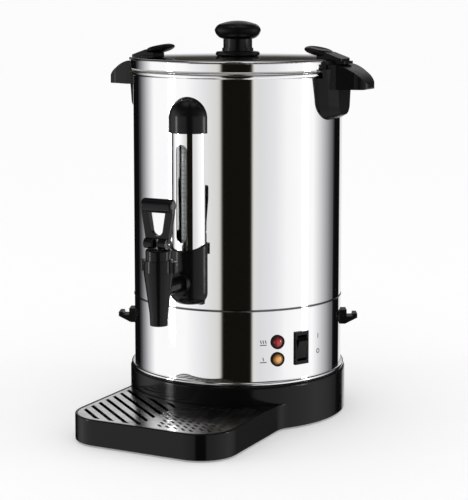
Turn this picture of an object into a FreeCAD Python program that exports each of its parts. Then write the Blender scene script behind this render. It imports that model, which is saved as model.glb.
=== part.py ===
# Hot water urn: a stainless steel tank on a black base with a drip tray, a tap with a level gauge above it,
# two carrying handles, a twist-and-lift lid and a rocker switch with two lamps.
# Millimetres, +Z up. The origin is on the body's axis at the surface that the urn stands on.
# The tap points to -Y, the handles lie on the X axis. An azimuth is in degrees from -Y towards +X.
import FreeCAD, Part
import os
from math import cos, hypot, pi, radians, sin, sqrt, tan

Vector = FreeCAD.Vector
X_AXIS = Vector(1, 0, 0)
Y_AXIS = Vector(0, 1, 0)
Z_AXIS = Vector(0, 0, 1)
ORIGIN = Vector(0, 0, 0)

# How far a cutting shape passes the wall it cuts
overshoot = 5.0

# Clearances
fit_gap = 0.2
running_gap = 0.05
screw_end_gap = 1.0

# Body and tank
body_radius = 110.0
sheet = 0.8
lower_shell_height = 75.0
seam_height = 2.4
seam_bead_height = 1.4
seam_proud = 0.5
seam_groove = 0.4
tank_height = 231.6
tap_height = 27.6
tank_floor = 1.0
rim_bead = 3.0
rim_step = 1.4
trim_bead = 1.7

# Base housing and drip tray
housing_lift = 2.0
housing_height = 45.0
base_flare = 4.5
base_radius = body_radius + base_flare
base_wall = 2.5
base_edge_round = 3.0
deck_thickness = 3.0
deck_ledge = 12.0
deck_opening_radius = body_radius - deck_ledge
tray_half_width = 87.0
tray_length = 97.5
tray_reach = base_radius + tray_length
tray_corner_radius = 37.0
tray_blend_radius = 25.0
tray_rim_height = 25.6
tray_rim_round = 1.2
trough_depth = 12.6
trough_floor_thickness = 2.0
rim_land = 2.4
grille_ledge = 3.6
trough_wall = 3.0

# Base plate, feet and the rods that hold the body down
plate_lift = 7.0
plate_thickness = 2.0
plate_gap = 0.3
foot_radius = 9.0
foot_plug_radius = 3.0
foot_plug_height = 4.0
foot_bevel = 1.0
foot_inset = 26.5
foot_circle_radius = base_radius - foot_inset
foot_azimuths = (100.0, 155.0, 205.0, 260.0)
front_foot_side_inset = 25.0
front_foot_x = tray_half_width - front_foot_side_inset
front_foot_inset = 30.0
front_foot_y = tray_reach - front_foot_inset
boss_radius = 5.0
boss_inset = 9.0
boss_circle_radius = base_radius - boss_inset
boss_azimuths = (70.0, 130.0, 230.0, 290.0)
tray_boss_setback = 22.0
base_screw_radius = 1.6
base_screw_head_radius = 3.2
base_screw_head_height = 2.0
base_screw_length = 10.0
vent_slot_length = 30.0
vent_slot_width = 3.5
vent_slot_pitch = 9.0
vent_slot_count = 5
rod_radius = 2.5
rod_inset = 26.0
rod_circle_radius = body_radius - rod_inset
rod_azimuths = (0.0, 120.0, 240.0)
rod_thread_below = 5.0
rod_nut_across_flats = 8.0
rod_nut_height = 4.0

# Drip grille
grille_thickness = 1.2
grille_gap = 0.4
grille_slot_angle = -40.0
grille_slot_width = 4.2
grille_slot_pitch = 10.6
grille_margin = 4.5
grille_dash_length = 8.5
grille_dash_pitch = 14.0
grille_dash_width = 2.6
grille_dash_spacing = 5.3

# Heating under the tank
heat_plate_inset = 32.0
heat_plate_radius = body_radius - heat_plate_inset
heat_plate_thickness = 2.0
element_inset = 20.0
element_ring_radius = heat_plate_radius - element_inset
element_tube_radius = 4.0
element_gap_angle = 40.0
element_leg_length = 12.0
sensor_radius = 8.0
sensor_height = 9.0
sensor_circle_radius = 20.0
warmer_tube_radius = 3.0
warmer_gap = 7.0
warmer_ring_radius = sensor_circle_radius + sensor_radius + warmer_gap + warmer_tube_radius
sensor_tab_length = 8.0
block_length = 36.0
block_width = 16.0
block_height = 14.0
block_shift = 30.0
wire_radius = 1.3
wire_hole_radius = 1.9
wire_bend = 4.0
wire_run_rise = 14.0
wire_run_spacing = 10.0
wire_standoff = 12.0
wire_end_gap = 1.0

# Power inlet at the back
inlet_height = 30.0
inlet_flange_width = 24.0
inlet_flange_height = 50.0
inlet_flange_thickness = 2.4
inlet_flange_round = 5.0
inlet_body_width = 20.0
inlet_body_height = 28.0
inlet_body_depth = 19.0
inlet_socket_width = 16.0
inlet_socket_height = 24.0
inlet_socket_depth = 16.0
inlet_pin_width = 4.0
inlet_pin_thickness = 2.0
inlet_pin_length = 12.0
inlet_pin_spacing = 7.0
inlet_earth_shift = 3.0
inlet_screw_spacing = 40.0
inlet_screw_radius = 1.7
inlet_screw_head_radius = 3.0
inlet_screw_head_height = 1.6
inlet_screw_grip = 6.0

# Lamps and switch on the lower shell
lamp_azimuth = 48.3
red_lamp_height = 43.5
amber_lamp_height = 25.8
lens_radius = 5.4
lens_dome = 2.4
lens_proud = 1.2
bezel_radius = 7.2
bezel_proud = 1.6
lamp_depth = 18.0
lens_shank = 6.0
lamp_leg_length = 8.0
lamp_leg_width = 1.0
switch_azimuth = 62.8
switch_height = 34.8
switch_width = 17.0
switch_length = 33.7
switch_flange = 1.6
switch_body_width = 14.4
switch_body_length = 29.6
switch_body_depth = 17.0
switch_wall = 1.2
rocker_gap = 0.3
rocker_round = 12.9
rocker_pivot_depth = 6.0
rocker_front = 7.4
rocker_back = 4.0
rocker_tilt = 10.0
rocker_trunnion_radius = 1.5
rocker_trunnion_reach = 0.8
terminal_width = 6.3
terminal_thickness = 0.8
terminal_length = 8.0
terminal_spacing = 8.5

# Level gauge
gauge_inset = 5.5
gauge_depth = body_radius - gauge_inset
gauge_block_radius = 21.5
gauge_block_drop = 23.4
gauge_block_back_rise = 38.0
gauge_block_front_rise = 31.5
gauge_block_round = 13.0
gauge_cap_drop = 54.7
gauge_cap_rise = tank_height - tap_height - gauge_cap_drop
gauge_cap_straight = 14.9
cover_radius = 19.0
cover_slot_width = 12.5
cover_slot_low_rise = 40.3
cover_slot_end_gap = 11.0
cover_slot_high_rise = gauge_cap_rise - cover_slot_end_gap
cover_seat_depth = 5.0
glass_offset = 5.5
glass_axis_depth = body_radius + glass_offset
glass_radius = 4.0
glass_wall = 1.2
glass_seat_depth = 7.0
glass_seat_drop = 9.0
grommet_radius = 5.2
grommet_height = 5.0
gauge_screw_rise = 20.0
gauge_screw_radius = 2.5
gauge_screw_head_radius = 4.8
gauge_screw_head_height = 2.4
gauge_screw_grip = 7.0

# Tap
tap_stand_off = 59.0
tap_reach = body_radius + tap_stand_off
shank_radius = 8.0
shank_bore = 5.0
shank_inside = 12.0
shank_gap = 0.15
gasket_radius = 13.0
gasket_thickness = 2.0
nut_across_flats = 22.0
nut_thickness = 6.0
lock_ring_radius = 11.5
lock_ring_thickness = 7.0
spout_drop = 34.0
spout_tip_radius = 8.6
spout_waist_drop = 22.0
spout_waist_radius = 9.2
tap_shoulder_rise = 19.0
tap_shoulder_radius = 14.8
chamber_radius = 9.5
seat_drop = 6.0
spout_bore = 6.0
bonnet_collar_height = 11.0
bonnet_collar_radius = 14.5
wing_half_span = 20.0
wing_thickness = 7.0
wing_round = 3.2
bonnet_dome_height = 11.6
bonnet_dome_radius = 12.75
bonnet_dome_round = 3.0
bonnet_plug_depth = 6.0
bonnet_roof = 4.0
bonnet_wall = 1.5
stem_radius = 3.0
stem_gap = 0.1
seat_cup_radius = 8.0
seat_cup_height = 7.0
seat_cup_taper = 2.0
seat_gap = 0.05
spring_radius = 5.4
spring_wire = 0.6
spring_turns = 6.0
cam_radius = 5.0
cam_throw = 4.2
cam_gap = 0.3
cam_half_width = 12.0
lever_slot_gap = 0.25
lever_pin_radius = 1.5
stem_above_pin = 3.2
lever_thickness = 6.0
lever_loop_rise = 43.4
lever_top_half_width = 17.0
lever_hole_half_width = 9.2
lever_hole_foot_half_width = 6.5
lever_hole_rise = 7.2
thumb_bar_radius = 6.8
thumb_bar_round = 2.5

# Handles
handle_foot_drop = 45.5
handle_top_rise = 7.0
handle_top_half_width = 37.5
handle_foot_half_width = 33.0
handle_foot_round = 22.0
handle_flange_thickness = -2.0
handle_step_thickness = 5.0
handle_step_inset = 8.5
handle_thickness = 12.0
handle_face_inset = 19.0
handle_round_share = 0.6
handle_foot_share = 0.3
handle_skirt_gap = 0.3
grip_underside_drop = 13.5
grip_length = 41.5
grip_reach = body_radius + grip_length
grip_flat = 10.4
grip_taper_start = 12.4
grip_root_half_width = 24.0
grip_tip_half_width = 17.0
grip_edge_height = 5.0
grip_edge_round = 3.5
grip_crest_along = 0.54
grip_crest_up = 0.68
grip_corner_radius = 12.0
grip_rise = 11.5
handle_screw_high_drop = 8.0
handle_screw_low_drop = 32.0
handle_screw_radius = 2.5
handle_screw_head_radius = 5.0
handle_screw_head_height = 2.6
handle_screw_grip = 5.5
washer_thickness = 1.2
washer_radius = 6.0
washer_gap = 0.2

# Lid
seal_thickness = 1.2
seal_lip_depth = 6.0
seal_lip_thickness = 1.2
lid_gap = 0.2
lid_overhang = 2.6
lid_radius = body_radius + lid_overhang
lid_skirt_height = 7.7
lid_shoulder_round = 3.0
lid_dome_height = 4.2
lid_lip_gap = 0.5
lid_lip_depth = 9.0
knob_skirt_radius = 23.2
knob_skirt_height = 5.2
knob_skirt_undercut = 1.8
knob_neck_radius = 15.2
knob_neck_height = 9.5
knob_ring_height = 3.0
knob_ring_proud = 1.2
knob_cap_radius = 24.3
knob_cap_lower = 12.1
knob_cap_upper = 9.9
knob_cap_angles = (-48.0, -24.0, 0.0, 22.0, 45.0)
knob_screw_radius = 2.5
knob_screw_grip = 14.0
knob_screw_head_radius = 4.6
knob_screw_head_height = 2.6
knob_washer_radius = 9.0
knob_washer_thickness = 1.0
ear_clip_half_width = 27.0
ear_clip_thickness = 3.2
ear_clip_gap = 0.1
ear_clip_rise = 1.5
ear_clearance = 0.5
ear_foot_reach = 14.0
ear_foot_height = 2.6
ear_block_reach = 10.5
ear_block_height = 5.2
ear_arm_half_width = 12.5
ear_arm_round = 3.0
ear_arm_crest = 7.0
ear_arm_crest_rise = 9.6
ear_arm_end = 16.6
ear_pad_inset = 19.1
ear_pad_half_length = 19.5
ear_pad_half_width = 14.5
ear_pad_thickness = 4.6
ear_pad_rise = 10.4
ear_pad_tilt = 13.0
ear_pad_dish = 1.6
ear_pad_rim = 2.5
ear_lid_gap = 0.4
rivet_radius = 1.6
rivet_head_radius = 3.0
rivet_head_height = 1.0
rivet_spread = 9.0

# Cord hooks
hook_azimuths = (118.0, -68.0)
hook_height = 49.0
hook_root_height = 15.0
hook_width = 16.0
hook_root_depth = 6.2
hook_root_taper = 1.5
hook_reach = 17.5
hook_arm_thickness = 4.3
hook_tip_drop = 1.0
hook_tip_rise = 3.5
hook_channel_rise = 0.5
hook_channel_taper = 0.6
hook_peg_radius = 2.2
hook_peg_length = 6.0

# Levels worked out from the stack of parts
z_base_top = housing_lift + housing_height
z_tray_rim = housing_lift + tray_rim_height
z_trough_floor = z_tray_rim - trough_depth
z_plate_top = plate_lift + plate_thickness
z_seam = z_base_top + lower_shell_height
z_tank = z_seam + seam_height
z_tank_top = z_tank + tank_height
z_bead_top = z_tank_top + rim_step + rim_bead
z_tap = z_tank + tap_height
z_seal = z_bead_top + lid_gap
z_lid = z_seal + seal_thickness + lid_gap
z_lid_shoulder = z_lid + lid_skirt_height
z_lid_crown = z_lid_shoulder + lid_dome_height
z_heat_plate = z_tank - heat_plate_thickness
tank_inner = body_radius - sheet


def cylinder(radius, height, base, axis=Z_AXIS):
    return Part.makeCylinder(radius, height, Vector(*base), axis)


def ring(outer, inner, low, high):
    solid = cylinder(outer, high - low, (0, 0, low))
    return solid.cut(cylinder(inner, high - low, (0, 0, low)))


def block(x_low, x_high, y_low, y_high, z_low, z_high):
    return Part.makeBox(x_high - x_low, y_high - y_low, z_high - z_low, Vector(x_low, y_low, z_low))


def closed_wire(points, place):
    """A closed wire: a step is a point, or a pair of points for an arc's middle and end."""
    edges = []
    here = points[0]
    for step in points[1:] + points[:1]:
        if isinstance(step[0], tuple):
            edges.append(Part.Arc(place(here), place(step[0]), place(step[1])).toShape())
            here = step[1]
        elif hypot(step[0] - here[0], step[1] - here[1]) > 1e-6:
            edges.append(Part.makeLine(place(here), place(step)))
            here = step
    return Part.Wire(edges)


def turned(points, x=0.0, y=0.0):
    """A body of revolution about the vertical through x, y, from (radius, height) points."""
    face = Part.Face(closed_wire(points, lambda p: Vector(x + p[0], y, p[1])))
    return face.revolve(Vector(x, y, 0), Z_AXIS, 360)


def turned_outwards(points, height, azimuth, distance=0.0):
    """A body of revolution about a radial line, from (radius, distance from the axis) points."""
    face = Part.Face(closed_wire(points, lambda p: Vector(p[0], -(distance + p[1]), height)))
    return swung(face.revolve(Vector(0, 0, height), Y_AXIS, 360), azimuth)


def prism(points, low, high):
    """An upright prism from (x, y) points."""
    face = Part.Face(closed_wire(points, lambda p: Vector(p[0], p[1], low)))
    return face.extrude(Vector(0, 0, high - low))


def crown(radius, rise, top):
    """An arc step up to the axis, part of a ball of that rise over that radius."""
    ball = (radius ** 2 + rise ** 2) / (2 * rise)
    return ((radius / 2, top - ball + sqrt(ball ** 2 - radius ** 2 / 4)), (0, top))


def swung(shape, azimuth):
    turned_shape = shape.copy()
    turned_shape.rotate(ORIGIN, Z_AXIS, azimuth)
    return turned_shape


def moved(shape, x, y, z):
    moved_shape = shape.copy()
    moved_shape.translate(Vector(x, y, z))
    return moved_shape


def mirrored_x(shape):
    return shape.mirror(ORIGIN, X_AXIS)


def around(azimuth, radius):
    return (radius * sin(radians(azimuth)), -radius * cos(radians(azimuth)))


def radial_cylinder(radius, near, far, azimuth, height):
    """A cylinder along the radial line at an azimuth, from distance near to distance far."""
    return swung(cylinder(radius, far - near, (0, -near, height), Vector(0, -1, 0)), azimuth)


def hexagon(across_flats, height, base, axis=Z_AXIS):
    corner = across_flats / sqrt(3)
    points = [Vector(corner * cos(k * pi / 3), corner * sin(k * pi / 3), 0) for k in range(7)]
    solid = Part.Face(Part.makePolygon(points)).extrude(Vector(0, 0, height))
    solid.Placement = FreeCAD.Placement(Vector(*base), FreeCAD.Rotation(Z_AXIS, axis))
    return solid


def rounded(shape, radius, wanted):
    return shape.makeFillet(radius, [edge for edge in shape.Edges if wanted(edge)])


def is_level(edge, height):
    return abs(edge.BoundBox.ZMin - height) < 1e-4 and abs(edge.BoundBox.ZMax - height) < 1e-4


def is_upright(edge):
    return edge.BoundBox.ZLength > 1e-3 and max(edge.BoundBox.XLength, edge.BoundBox.YLength) < 1e-4


def tube_along(points, radius, bend):
    """A round tube along straight runs joined by tangent arcs."""
    corners = [Vector(*p) for p in points]
    edges = []
    here = corners[0]
    for before, corner, after in zip(corners, corners[1:], corners[2:]):
        back = (before - corner).normalize()
        ahead = (after - corner).normalize()
        half = back.getAngle(ahead) / 2
        cut_back = bend * cos(half) / sin(half)
        start = corner + back * cut_back
        end = corner + ahead * cut_back
        middle = corner + (back + ahead).normalize() * (bend / sin(half) - bend)
        edges.append(Part.makeLine(here, start))
        edges.append(Part.Arc(start, middle, end).toShape())
        here = end
    edges.append(Part.makeLine(here, corners[-1]))
    section = Part.Wire(Part.makeCircle(radius, corners[0], corners[1] - corners[0]))
    return Part.Wire(edges).makePipeShell([section], True, True)


# Base housing, plate and feet

def base_outline(inset):
    """The base from above, drawn in by inset: a disc with the tray blended on at the front."""
    disc = base_radius - inset
    side = tray_half_width - inset
    front = -(tray_reach - inset)
    corner = tray_corner_radius - inset
    blend = tray_blend_radius + inset
    centre_x = side + blend
    centre_y = -sqrt((disc + blend) ** 2 - centre_x ** 2)
    touch = (centre_x * disc / (disc + blend), centre_y * disc / (disc + blend))
    lean = (touch[0] - centre_x - blend, touch[1] - centre_y)
    lean_length = hypot(*lean)
    blend_middle = (centre_x + blend * lean[0] / lean_length, centre_y + blend * lean[1] / lean_length)
    corner_middle = (side - corner * (1 - sqrt(0.5)), front + corner * (1 - sqrt(0.5)))
    return [
        (side, centre_y),
        (blend_middle, touch),
        ((0, disc), (-touch[0], touch[1])),
        ((-blend_middle[0], blend_middle[1]), (-side, centre_y)),
        (-side, front + corner),
        ((-corner_middle[0], corner_middle[1]), (-side + corner, front)),
        (side - corner, front),
        (corner_middle, (side, front + corner)),
    ]


def tray_outline(inset, rear_radius):
    """The tray's opening from above: it ends at the round base with a hollow arc."""
    side = tray_half_width - inset
    front = -(tray_reach - inset)
    corner = tray_corner_radius - inset
    rear = -sqrt(rear_radius ** 2 - side ** 2)
    corner_middle = (side - corner * (1 - sqrt(0.5)), front + corner * (1 - sqrt(0.5)))
    return [
        (side, rear),
        ((0, -rear_radius), (-side, rear)),
        (-side, front + corner),
        ((-corner_middle[0], corner_middle[1]), (-side + corner, front)),
        (side - corner, front),
        (corner_middle, (side, front + corner)),
    ]


def round_boss_places():
    return [around(azimuth, boss_circle_radius) for azimuth in boss_azimuths]


def tray_boss_places():
    y = -front_foot_y + tray_boss_setback
    return [(-front_foot_x, y), (front_foot_x, y)]


def foot_places():
    rear = [around(azimuth, foot_circle_radius) for azimuth in foot_azimuths]
    front = [(-front_foot_x, -front_foot_y), (front_foot_x, -front_foot_y)]
    return rear + front + [(0.0, 0.0)]


def rod_places():
    return [around(azimuth, rod_circle_radius) for azimuth in rod_azimuths]


def make_base_housing():
    foot = base_radius - base_edge_round
    upper = turned([
        (0, housing_lift),
        (base_radius, housing_lift),
        (base_radius, z_base_top - base_edge_round),
        ((foot + base_edge_round * sqrt(0.5), z_base_top - base_edge_round * (1 - sqrt(0.5))),
         (foot, z_base_top)),
        (0, z_base_top),
    ])
    tray = rounded(prism(base_outline(0), housing_lift, z_tray_rim), tray_rim_round,
                   lambda e: is_level(e, z_tray_rim))
    solid = tray.fuse(upper).removeSplitter()
    hollow = base_radius - base_wall
    solid = solid.cut(cylinder(hollow, z_base_top - deck_thickness, (0, 0, 0)))
    solid = solid.cut(prism(base_outline(base_wall), 0, z_trough_floor - trough_floor_thickness))
    solid = solid.cut(cylinder(deck_opening_radius, z_base_top, (0, 0, housing_lift)))
    trough = rim_land + grille_ledge
    rear = base_radius + trough_wall
    solid = solid.cut(prism(tray_outline(trough, rear + grille_ledge), z_trough_floor, z_tray_rim + 1))
    ledge = z_tray_rim - grille_thickness - grille_gap
    solid = solid.cut(prism(tray_outline(rim_land, rear - rim_land / 2), ledge, z_tray_rim + 1))
    wall = cylinder(base_radius, z_base_top - deck_thickness - z_plate_top, (0, 0, z_plate_top))
    for x, y in round_boss_places():
        boss = cylinder(boss_radius, z_base_top - deck_thickness - z_plate_top, (x, y, z_plate_top))
        solid = solid.fuse(boss.common(wall))
    for x, y in tray_boss_places():
        boss_top = z_trough_floor - trough_floor_thickness
        solid = solid.fuse(cylinder(boss_radius, boss_top - z_plate_top, (x, y, z_plate_top)))
    for x, y in round_boss_places():
        solid = solid.cut(cylinder(base_screw_radius, base_screw_length, (x, y, z_plate_top)))
    for x, y in tray_boss_places():
        solid = solid.cut(cylinder(base_screw_radius, tray_screw_depth(), (x, y, z_plate_top)))
    return solid.removeSplitter()


def tray_screw_depth():
    return z_trough_floor - trough_floor_thickness / 2 - z_plate_top


def make_base_plate():
    plate = prism(base_outline(base_wall + plate_gap), plate_lift, z_plate_top)
    for x, y in foot_places():
        plate = plate.cut(cylinder(foot_plug_radius, plate_thickness, (x, y, plate_lift)))
    for x, y in rod_places():
        plate = plate.cut(cylinder(rod_radius + fit_gap, plate_thickness, (x, y, plate_lift)))
    for x, y in round_boss_places() + tray_boss_places():
        plate = plate.cut(cylinder(base_screw_radius + fit_gap, plate_thickness, (x, y, plate_lift)))
    for side in (-1, 1):
        for k in range(vent_slot_count):
            y = (k - (vent_slot_count - 1) / 2) * vent_slot_pitch
            middle = side * foot_circle_radius / 2
            plate = plate.cut(block(middle - vent_slot_length / 2, middle + vent_slot_length / 2,
                                    y - vent_slot_width / 2, y + vent_slot_width / 2,
                                    plate_lift, z_plate_top))
    return plate


def make_rubber_feet():
    feet = []
    for x, y in foot_places():
        feet.append(turned([
            (0, 0),
            (foot_radius - foot_bevel, 0),
            (foot_radius, foot_bevel),
            (foot_radius, plate_lift),
            (foot_plug_radius, plate_lift),
            (foot_plug_radius, plate_lift + foot_plug_height),
            (0, plate_lift + foot_plug_height),
        ], x, y))
    return feet


def make_base_screws():
    screws = []
    for x, y in round_boss_places():
        screws.append(pan_screw(x, y, base_screw_length - 1))
    for x, y in tray_boss_places():
        screws.append(pan_screw(x, y, tray_screw_depth() - 0.5))
    return screws


def pan_screw(x, y, grip):
    """A screw from below, its head against the base plate."""
    head = plate_lift - base_screw_head_height
    shank = base_screw_radius
    return turned([
        (0, head),
        (base_screw_head_radius, head),
        (base_screw_head_radius, plate_lift),
        (shank, plate_lift),
        (shank, z_plate_top + grip),
        (0, z_plate_top + grip),
    ], x, y)


def make_drip_grille():
    inset = rim_land + grille_gap
    rear = base_radius + trough_wall - rim_land / 2 + grille_gap
    top = z_tray_rim - grille_gap
    plate = prism(tray_outline(inset, rear), top - grille_thickness, top)
    field = prism(tray_outline(inset + grille_margin, rear + grille_margin), top - grille_thickness, top)
    slots = grille_slots(field, top)
    return plate.cut(slots)


def grille_slots(field, top):
    """Long slanted slots on the left half and rows of short ones on the right half."""
    low = top - grille_thickness
    reach = tray_reach + tray_half_width
    left = block(-tray_half_width, -grille_slot_width / 2, -tray_reach, 0, low, top)
    right = block(grille_slot_width / 2, tray_half_width, -tray_reach, 0, low, top)
    long_slots = []
    count = int(reach / grille_slot_pitch)
    for k in range(-count, count + 1):
        long_slots.append(slanted_slot(0, k * grille_slot_pitch, reach, grille_slot_width, low))
    dashes = []
    rows = int(reach / grille_dash_spacing)
    columns = int(reach / grille_dash_pitch)
    for row in range(-rows, rows + 1):
        shift = grille_dash_pitch / 2 if row % 2 else 0
        for column in range(-columns, columns + 1):
            along = column * grille_dash_pitch + shift
            across = row * grille_dash_spacing
            x, y = slanted_point(along, across)
            inside = grille_dash_length < x < tray_half_width and -tray_reach < y < -base_radius / 2
            if inside:
                dashes.append(slanted_slot(along, across, grille_dash_length, grille_dash_width, low))
    whole_dashes = [dash for dash in dashes if dash.common(field).Volume > 0.98 * dash.Volume]
    long_cut = Part.makeCompound(long_slots).common(field).common(left)
    return Part.makeCompound([long_cut] + whole_dashes)


def slanted_point(along, across):
    angle = radians(grille_slot_angle)
    middle_y = -(tray_reach + base_radius) / 2
    return (along * cos(angle) - across * sin(angle), middle_y + along * sin(angle) + across * cos(angle))


def slanted_slot(along, across, length, width, low):
    """A slot with round ends, its middle at a place along and across the slant."""
    straight = length / 2 - width / 2
    half = width / 2
    outline = [
        (-straight, -half),
        (straight, -half),
        ((straight + half, 0), (straight, half)),
        (-straight, half),
        ((-straight - half, 0), (-straight, -half)),
    ]
    slot = prism(outline, low, low + grille_thickness)
    slot.rotate(ORIGIN, Z_AXIS, grille_slot_angle)
    x, y = slanted_point(along, across)
    return moved(slot, x, y, 0)


# Shell, tank and what holds them together

def make_bottom_trim_ring():
    return turned([
        (body_radius, z_base_top),
        (body_radius + trim_bead, z_base_top),
        ((body_radius + 2 * trim_bead, z_base_top + trim_bead),
         (body_radius + trim_bead, z_base_top + 2 * trim_bead)),
        (body_radius, z_base_top + 2 * trim_bead),
    ])


def make_lower_shell():
    shell = ring(body_radius, body_radius - sheet, z_base_top, z_seam)
    near = body_radius - overshoot
    far = body_radius + overshoot
    for height in (red_lamp_height, amber_lamp_height):
        shell = shell.cut(radial_cylinder(lens_radius + fit_gap, near, far,
                                          lamp_azimuth, z_base_top + height))
    half_width = switch_body_width / 2 + fit_gap
    half_length = switch_body_length / 2 + fit_gap
    window = block(-half_width, half_width, -far, -near, switch_z() - half_length, switch_z() + half_length)
    shell = shell.cut(swung(window, switch_azimuth))
    socket = block(-inlet_body_width / 2 - fit_gap, inlet_body_width / 2 + fit_gap, near, far,
                   inlet_z() - inlet_body_height / 2 - fit_gap, inlet_z() + inlet_body_height / 2 + fit_gap)
    shell = shell.cut(socket)
    for height in inlet_screw_heights():
        shell = shell.cut(radial_cylinder(inlet_screw_radius, near, far, 180, height))
    for azimuth in hook_azimuths:
        shell = shell.cut(radial_cylinder(hook_peg_radius, near, far, azimuth, z_base_top + hook_height))
    return shell


def make_seam_ring():
    """A small bead with a groove over it, between the lower shell and the tank."""
    bead_top = z_seam + seam_bead_height
    inner = body_radius - 2 * sheet
    groove = body_radius - seam_groove
    return turned([
        (inner, z_seam),
        (body_radius, z_seam),
        ((body_radius + seam_proud, (z_seam + bead_top) / 2), (body_radius, bead_top)),
        (groove, bead_top),
        (groove, z_tank),
        (inner, z_tank),
    ])


def make_tank():
    tank = cylinder(body_radius, tank_height, (0, 0, z_tank))
    tank = tank.cut(cylinder(tank_inner, tank_height, (0, 0, z_tank + tank_floor)))
    near = body_radius - overshoot
    far = body_radius + overshoot
    tank = tank.cut(radial_cylinder(shank_radius + shank_gap, near, far, 0, z_tap))
    tank = tank.cut(radial_cylinder(gauge_screw_radius + fit_gap, near, far, 0, gauge_screw_z()))
    for azimuth in (-90, 90):
        for height in handle_screw_heights():
            tank = tank.cut(radial_cylinder(handle_screw_radius + fit_gap, near, far, azimuth, height))
    return tank


def make_tank_rim():
    low = z_bead_top - 2 * rim_bead
    return turned([
        (body_radius, low),
        ((body_radius + rim_bead, low + rim_bead), (body_radius, z_bead_top)),
        (tank_inner, z_bead_top),
        (tank_inner, z_tank_top),
        (body_radius, z_tank_top),
    ])


def make_tie_rods():
    low = plate_lift - rod_thread_below
    return [cylinder(rod_radius, z_tank - low, (x, y, low)) for x, y in rod_places()]


def make_tie_nuts():
    nuts = []
    for x, y in rod_places():
        nut = hexagon(rod_nut_across_flats, rod_nut_height, (x, y, plate_lift - rod_nut_height))
        nuts.append(nut.cut(cylinder(rod_radius, rod_nut_height, (x, y, plate_lift - rod_nut_height))))
    return nuts


# Heating and wiring under the tank

def make_heat_plate():
    return cylinder(heat_plate_radius, heat_plate_thickness, (0, 0, z_heat_plate))


def bent_heater(ring_radius, tube_radius, facing):
    """A ring of tube under the heat plate, open at one side, with both ends turned down."""
    z = z_heat_plate - tube_radius
    torus = Part.makeTorus(ring_radius, tube_radius, Vector(0, 0, z), Z_AXIS, 0, 360, 360 - element_gap_angle)
    torus.rotate(ORIGIN, Z_AXIS, facing - 90 + element_gap_angle / 2)
    heater = torus
    for side in (-1, 1):
        x, y = around(facing + side * element_gap_angle / 2, ring_radius)
        heater = heater.fuse(Part.makeSphere(tube_radius, Vector(x, y, z)))
        heater = heater.fuse(cylinder(tube_radius, element_leg_length, (x, y, z - element_leg_length)))
    return heater.removeSplitter()


def sensor(azimuth):
    """A snap-disc sensor pressed to the heat plate, with two blade tabs below."""
    x, y = around(azimuth, sensor_circle_radius)
    low = z_heat_plate - sensor_height
    body = cylinder(sensor_radius, sensor_height, (x, y, low))
    for side in (-1, 1):
        tab_x = x + side * sensor_radius / 2
        body = body.fuse(block(tab_x - terminal_thickness / 2, tab_x + terminal_thickness / 2,
                               y - terminal_width / 2, y + terminal_width / 2, low - sensor_tab_length, low))
    return body


def make_terminal_block():
    low = z_plate_top
    body = block(-block_length / 2, block_length / 2,
                 block_shift - block_width / 2, block_shift + block_width / 2, low, low + block_height)
    step = block_length / 4
    for k in (-1, 0, 1):
        body = body.cut(cylinder(wire_hole_radius, block_height / 2,
                                 (k * step, block_shift, low + block_height / 2)))
    return body


def make_wiring():
    """Leads from the terminal block to the switch, the inlet and the boiling element."""
    top = z_plate_top + block_height
    start = top - block_height / 2
    step = block_length / 4
    low_run = top + wire_run_rise
    high_run = low_run + wire_run_spacing
    switch_x, switch_y = around(switch_azimuth, body_radius - switch_body_depth - terminal_length)
    corner_x = switch_x - wire_standoff
    leg_x, leg_y = around(180 - element_gap_angle / 2, element_ring_radius)
    leg_low = z_heat_plate - element_tube_radius - element_leg_length
    inlet_y = body_radius - inlet_body_depth - terminal_length
    runs = [
        [(step, block_shift, start), (step, block_shift, low_run), (corner_x, switch_y, low_run),
         (corner_x, switch_y, switch_z()), (switch_x - wire_end_gap, switch_y, switch_z())],
        [(0, block_shift, start), (0, block_shift, inlet_z()), (0, inlet_y - wire_end_gap, inlet_z())],
        [(-step, block_shift, start), (-step, block_shift, high_run),
         (-leg_x, leg_y, high_run), (-leg_x, leg_y, leg_low)],
    ]
    return [tube_along(run, wire_radius, wire_bend) for run in runs]


# Power inlet

def inlet_z():
    return z_base_top + inlet_height


def inlet_screw_heights():
    return (inlet_z() - inlet_screw_spacing / 2, inlet_z() + inlet_screw_spacing / 2)


def make_power_inlet():
    z = inlet_z()
    front = body_radius + inlet_flange_thickness
    flange = block(-inlet_flange_width / 2, inlet_flange_width / 2, body_radius - overshoot, front,
                   z - inlet_flange_height / 2, z + inlet_flange_height / 2)
    flange = rounded(flange, inlet_flange_round,
                     lambda e: e.BoundBox.YLength > 1 and e.BoundBox.XLength + e.BoundBox.ZLength < 1e-4)
    flange = flange.cut(cylinder(body_radius, inlet_flange_height, (0, 0, z - inlet_flange_height / 2)))
    body = block(-inlet_body_width / 2, inlet_body_width / 2, body_radius - inlet_body_depth, front,
                 z - inlet_body_height / 2, z + inlet_body_height / 2)
    solid = flange.fuse(body).removeSplitter()
    floor = front - inlet_socket_depth
    solid = solid.cut(block(-inlet_socket_width / 2, inlet_socket_width / 2, floor, front,
                            z - inlet_socket_height / 2, z + inlet_socket_height / 2))
    for x, pin_z in inlet_pin_places():
        solid = solid.cut(inlet_pin(x, pin_z))
    for height in inlet_screw_heights():
        solid = solid.cut(radial_cylinder(inlet_screw_radius + fit_gap, body_radius - overshoot,
                                          front + overshoot, 180, height))
    return solid


def inlet_pin_places():
    z = inlet_z()
    return [(inlet_earth_shift, z), (-inlet_earth_shift, z - inlet_pin_spacing),
            (-inlet_earth_shift, z + inlet_pin_spacing)]


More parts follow.
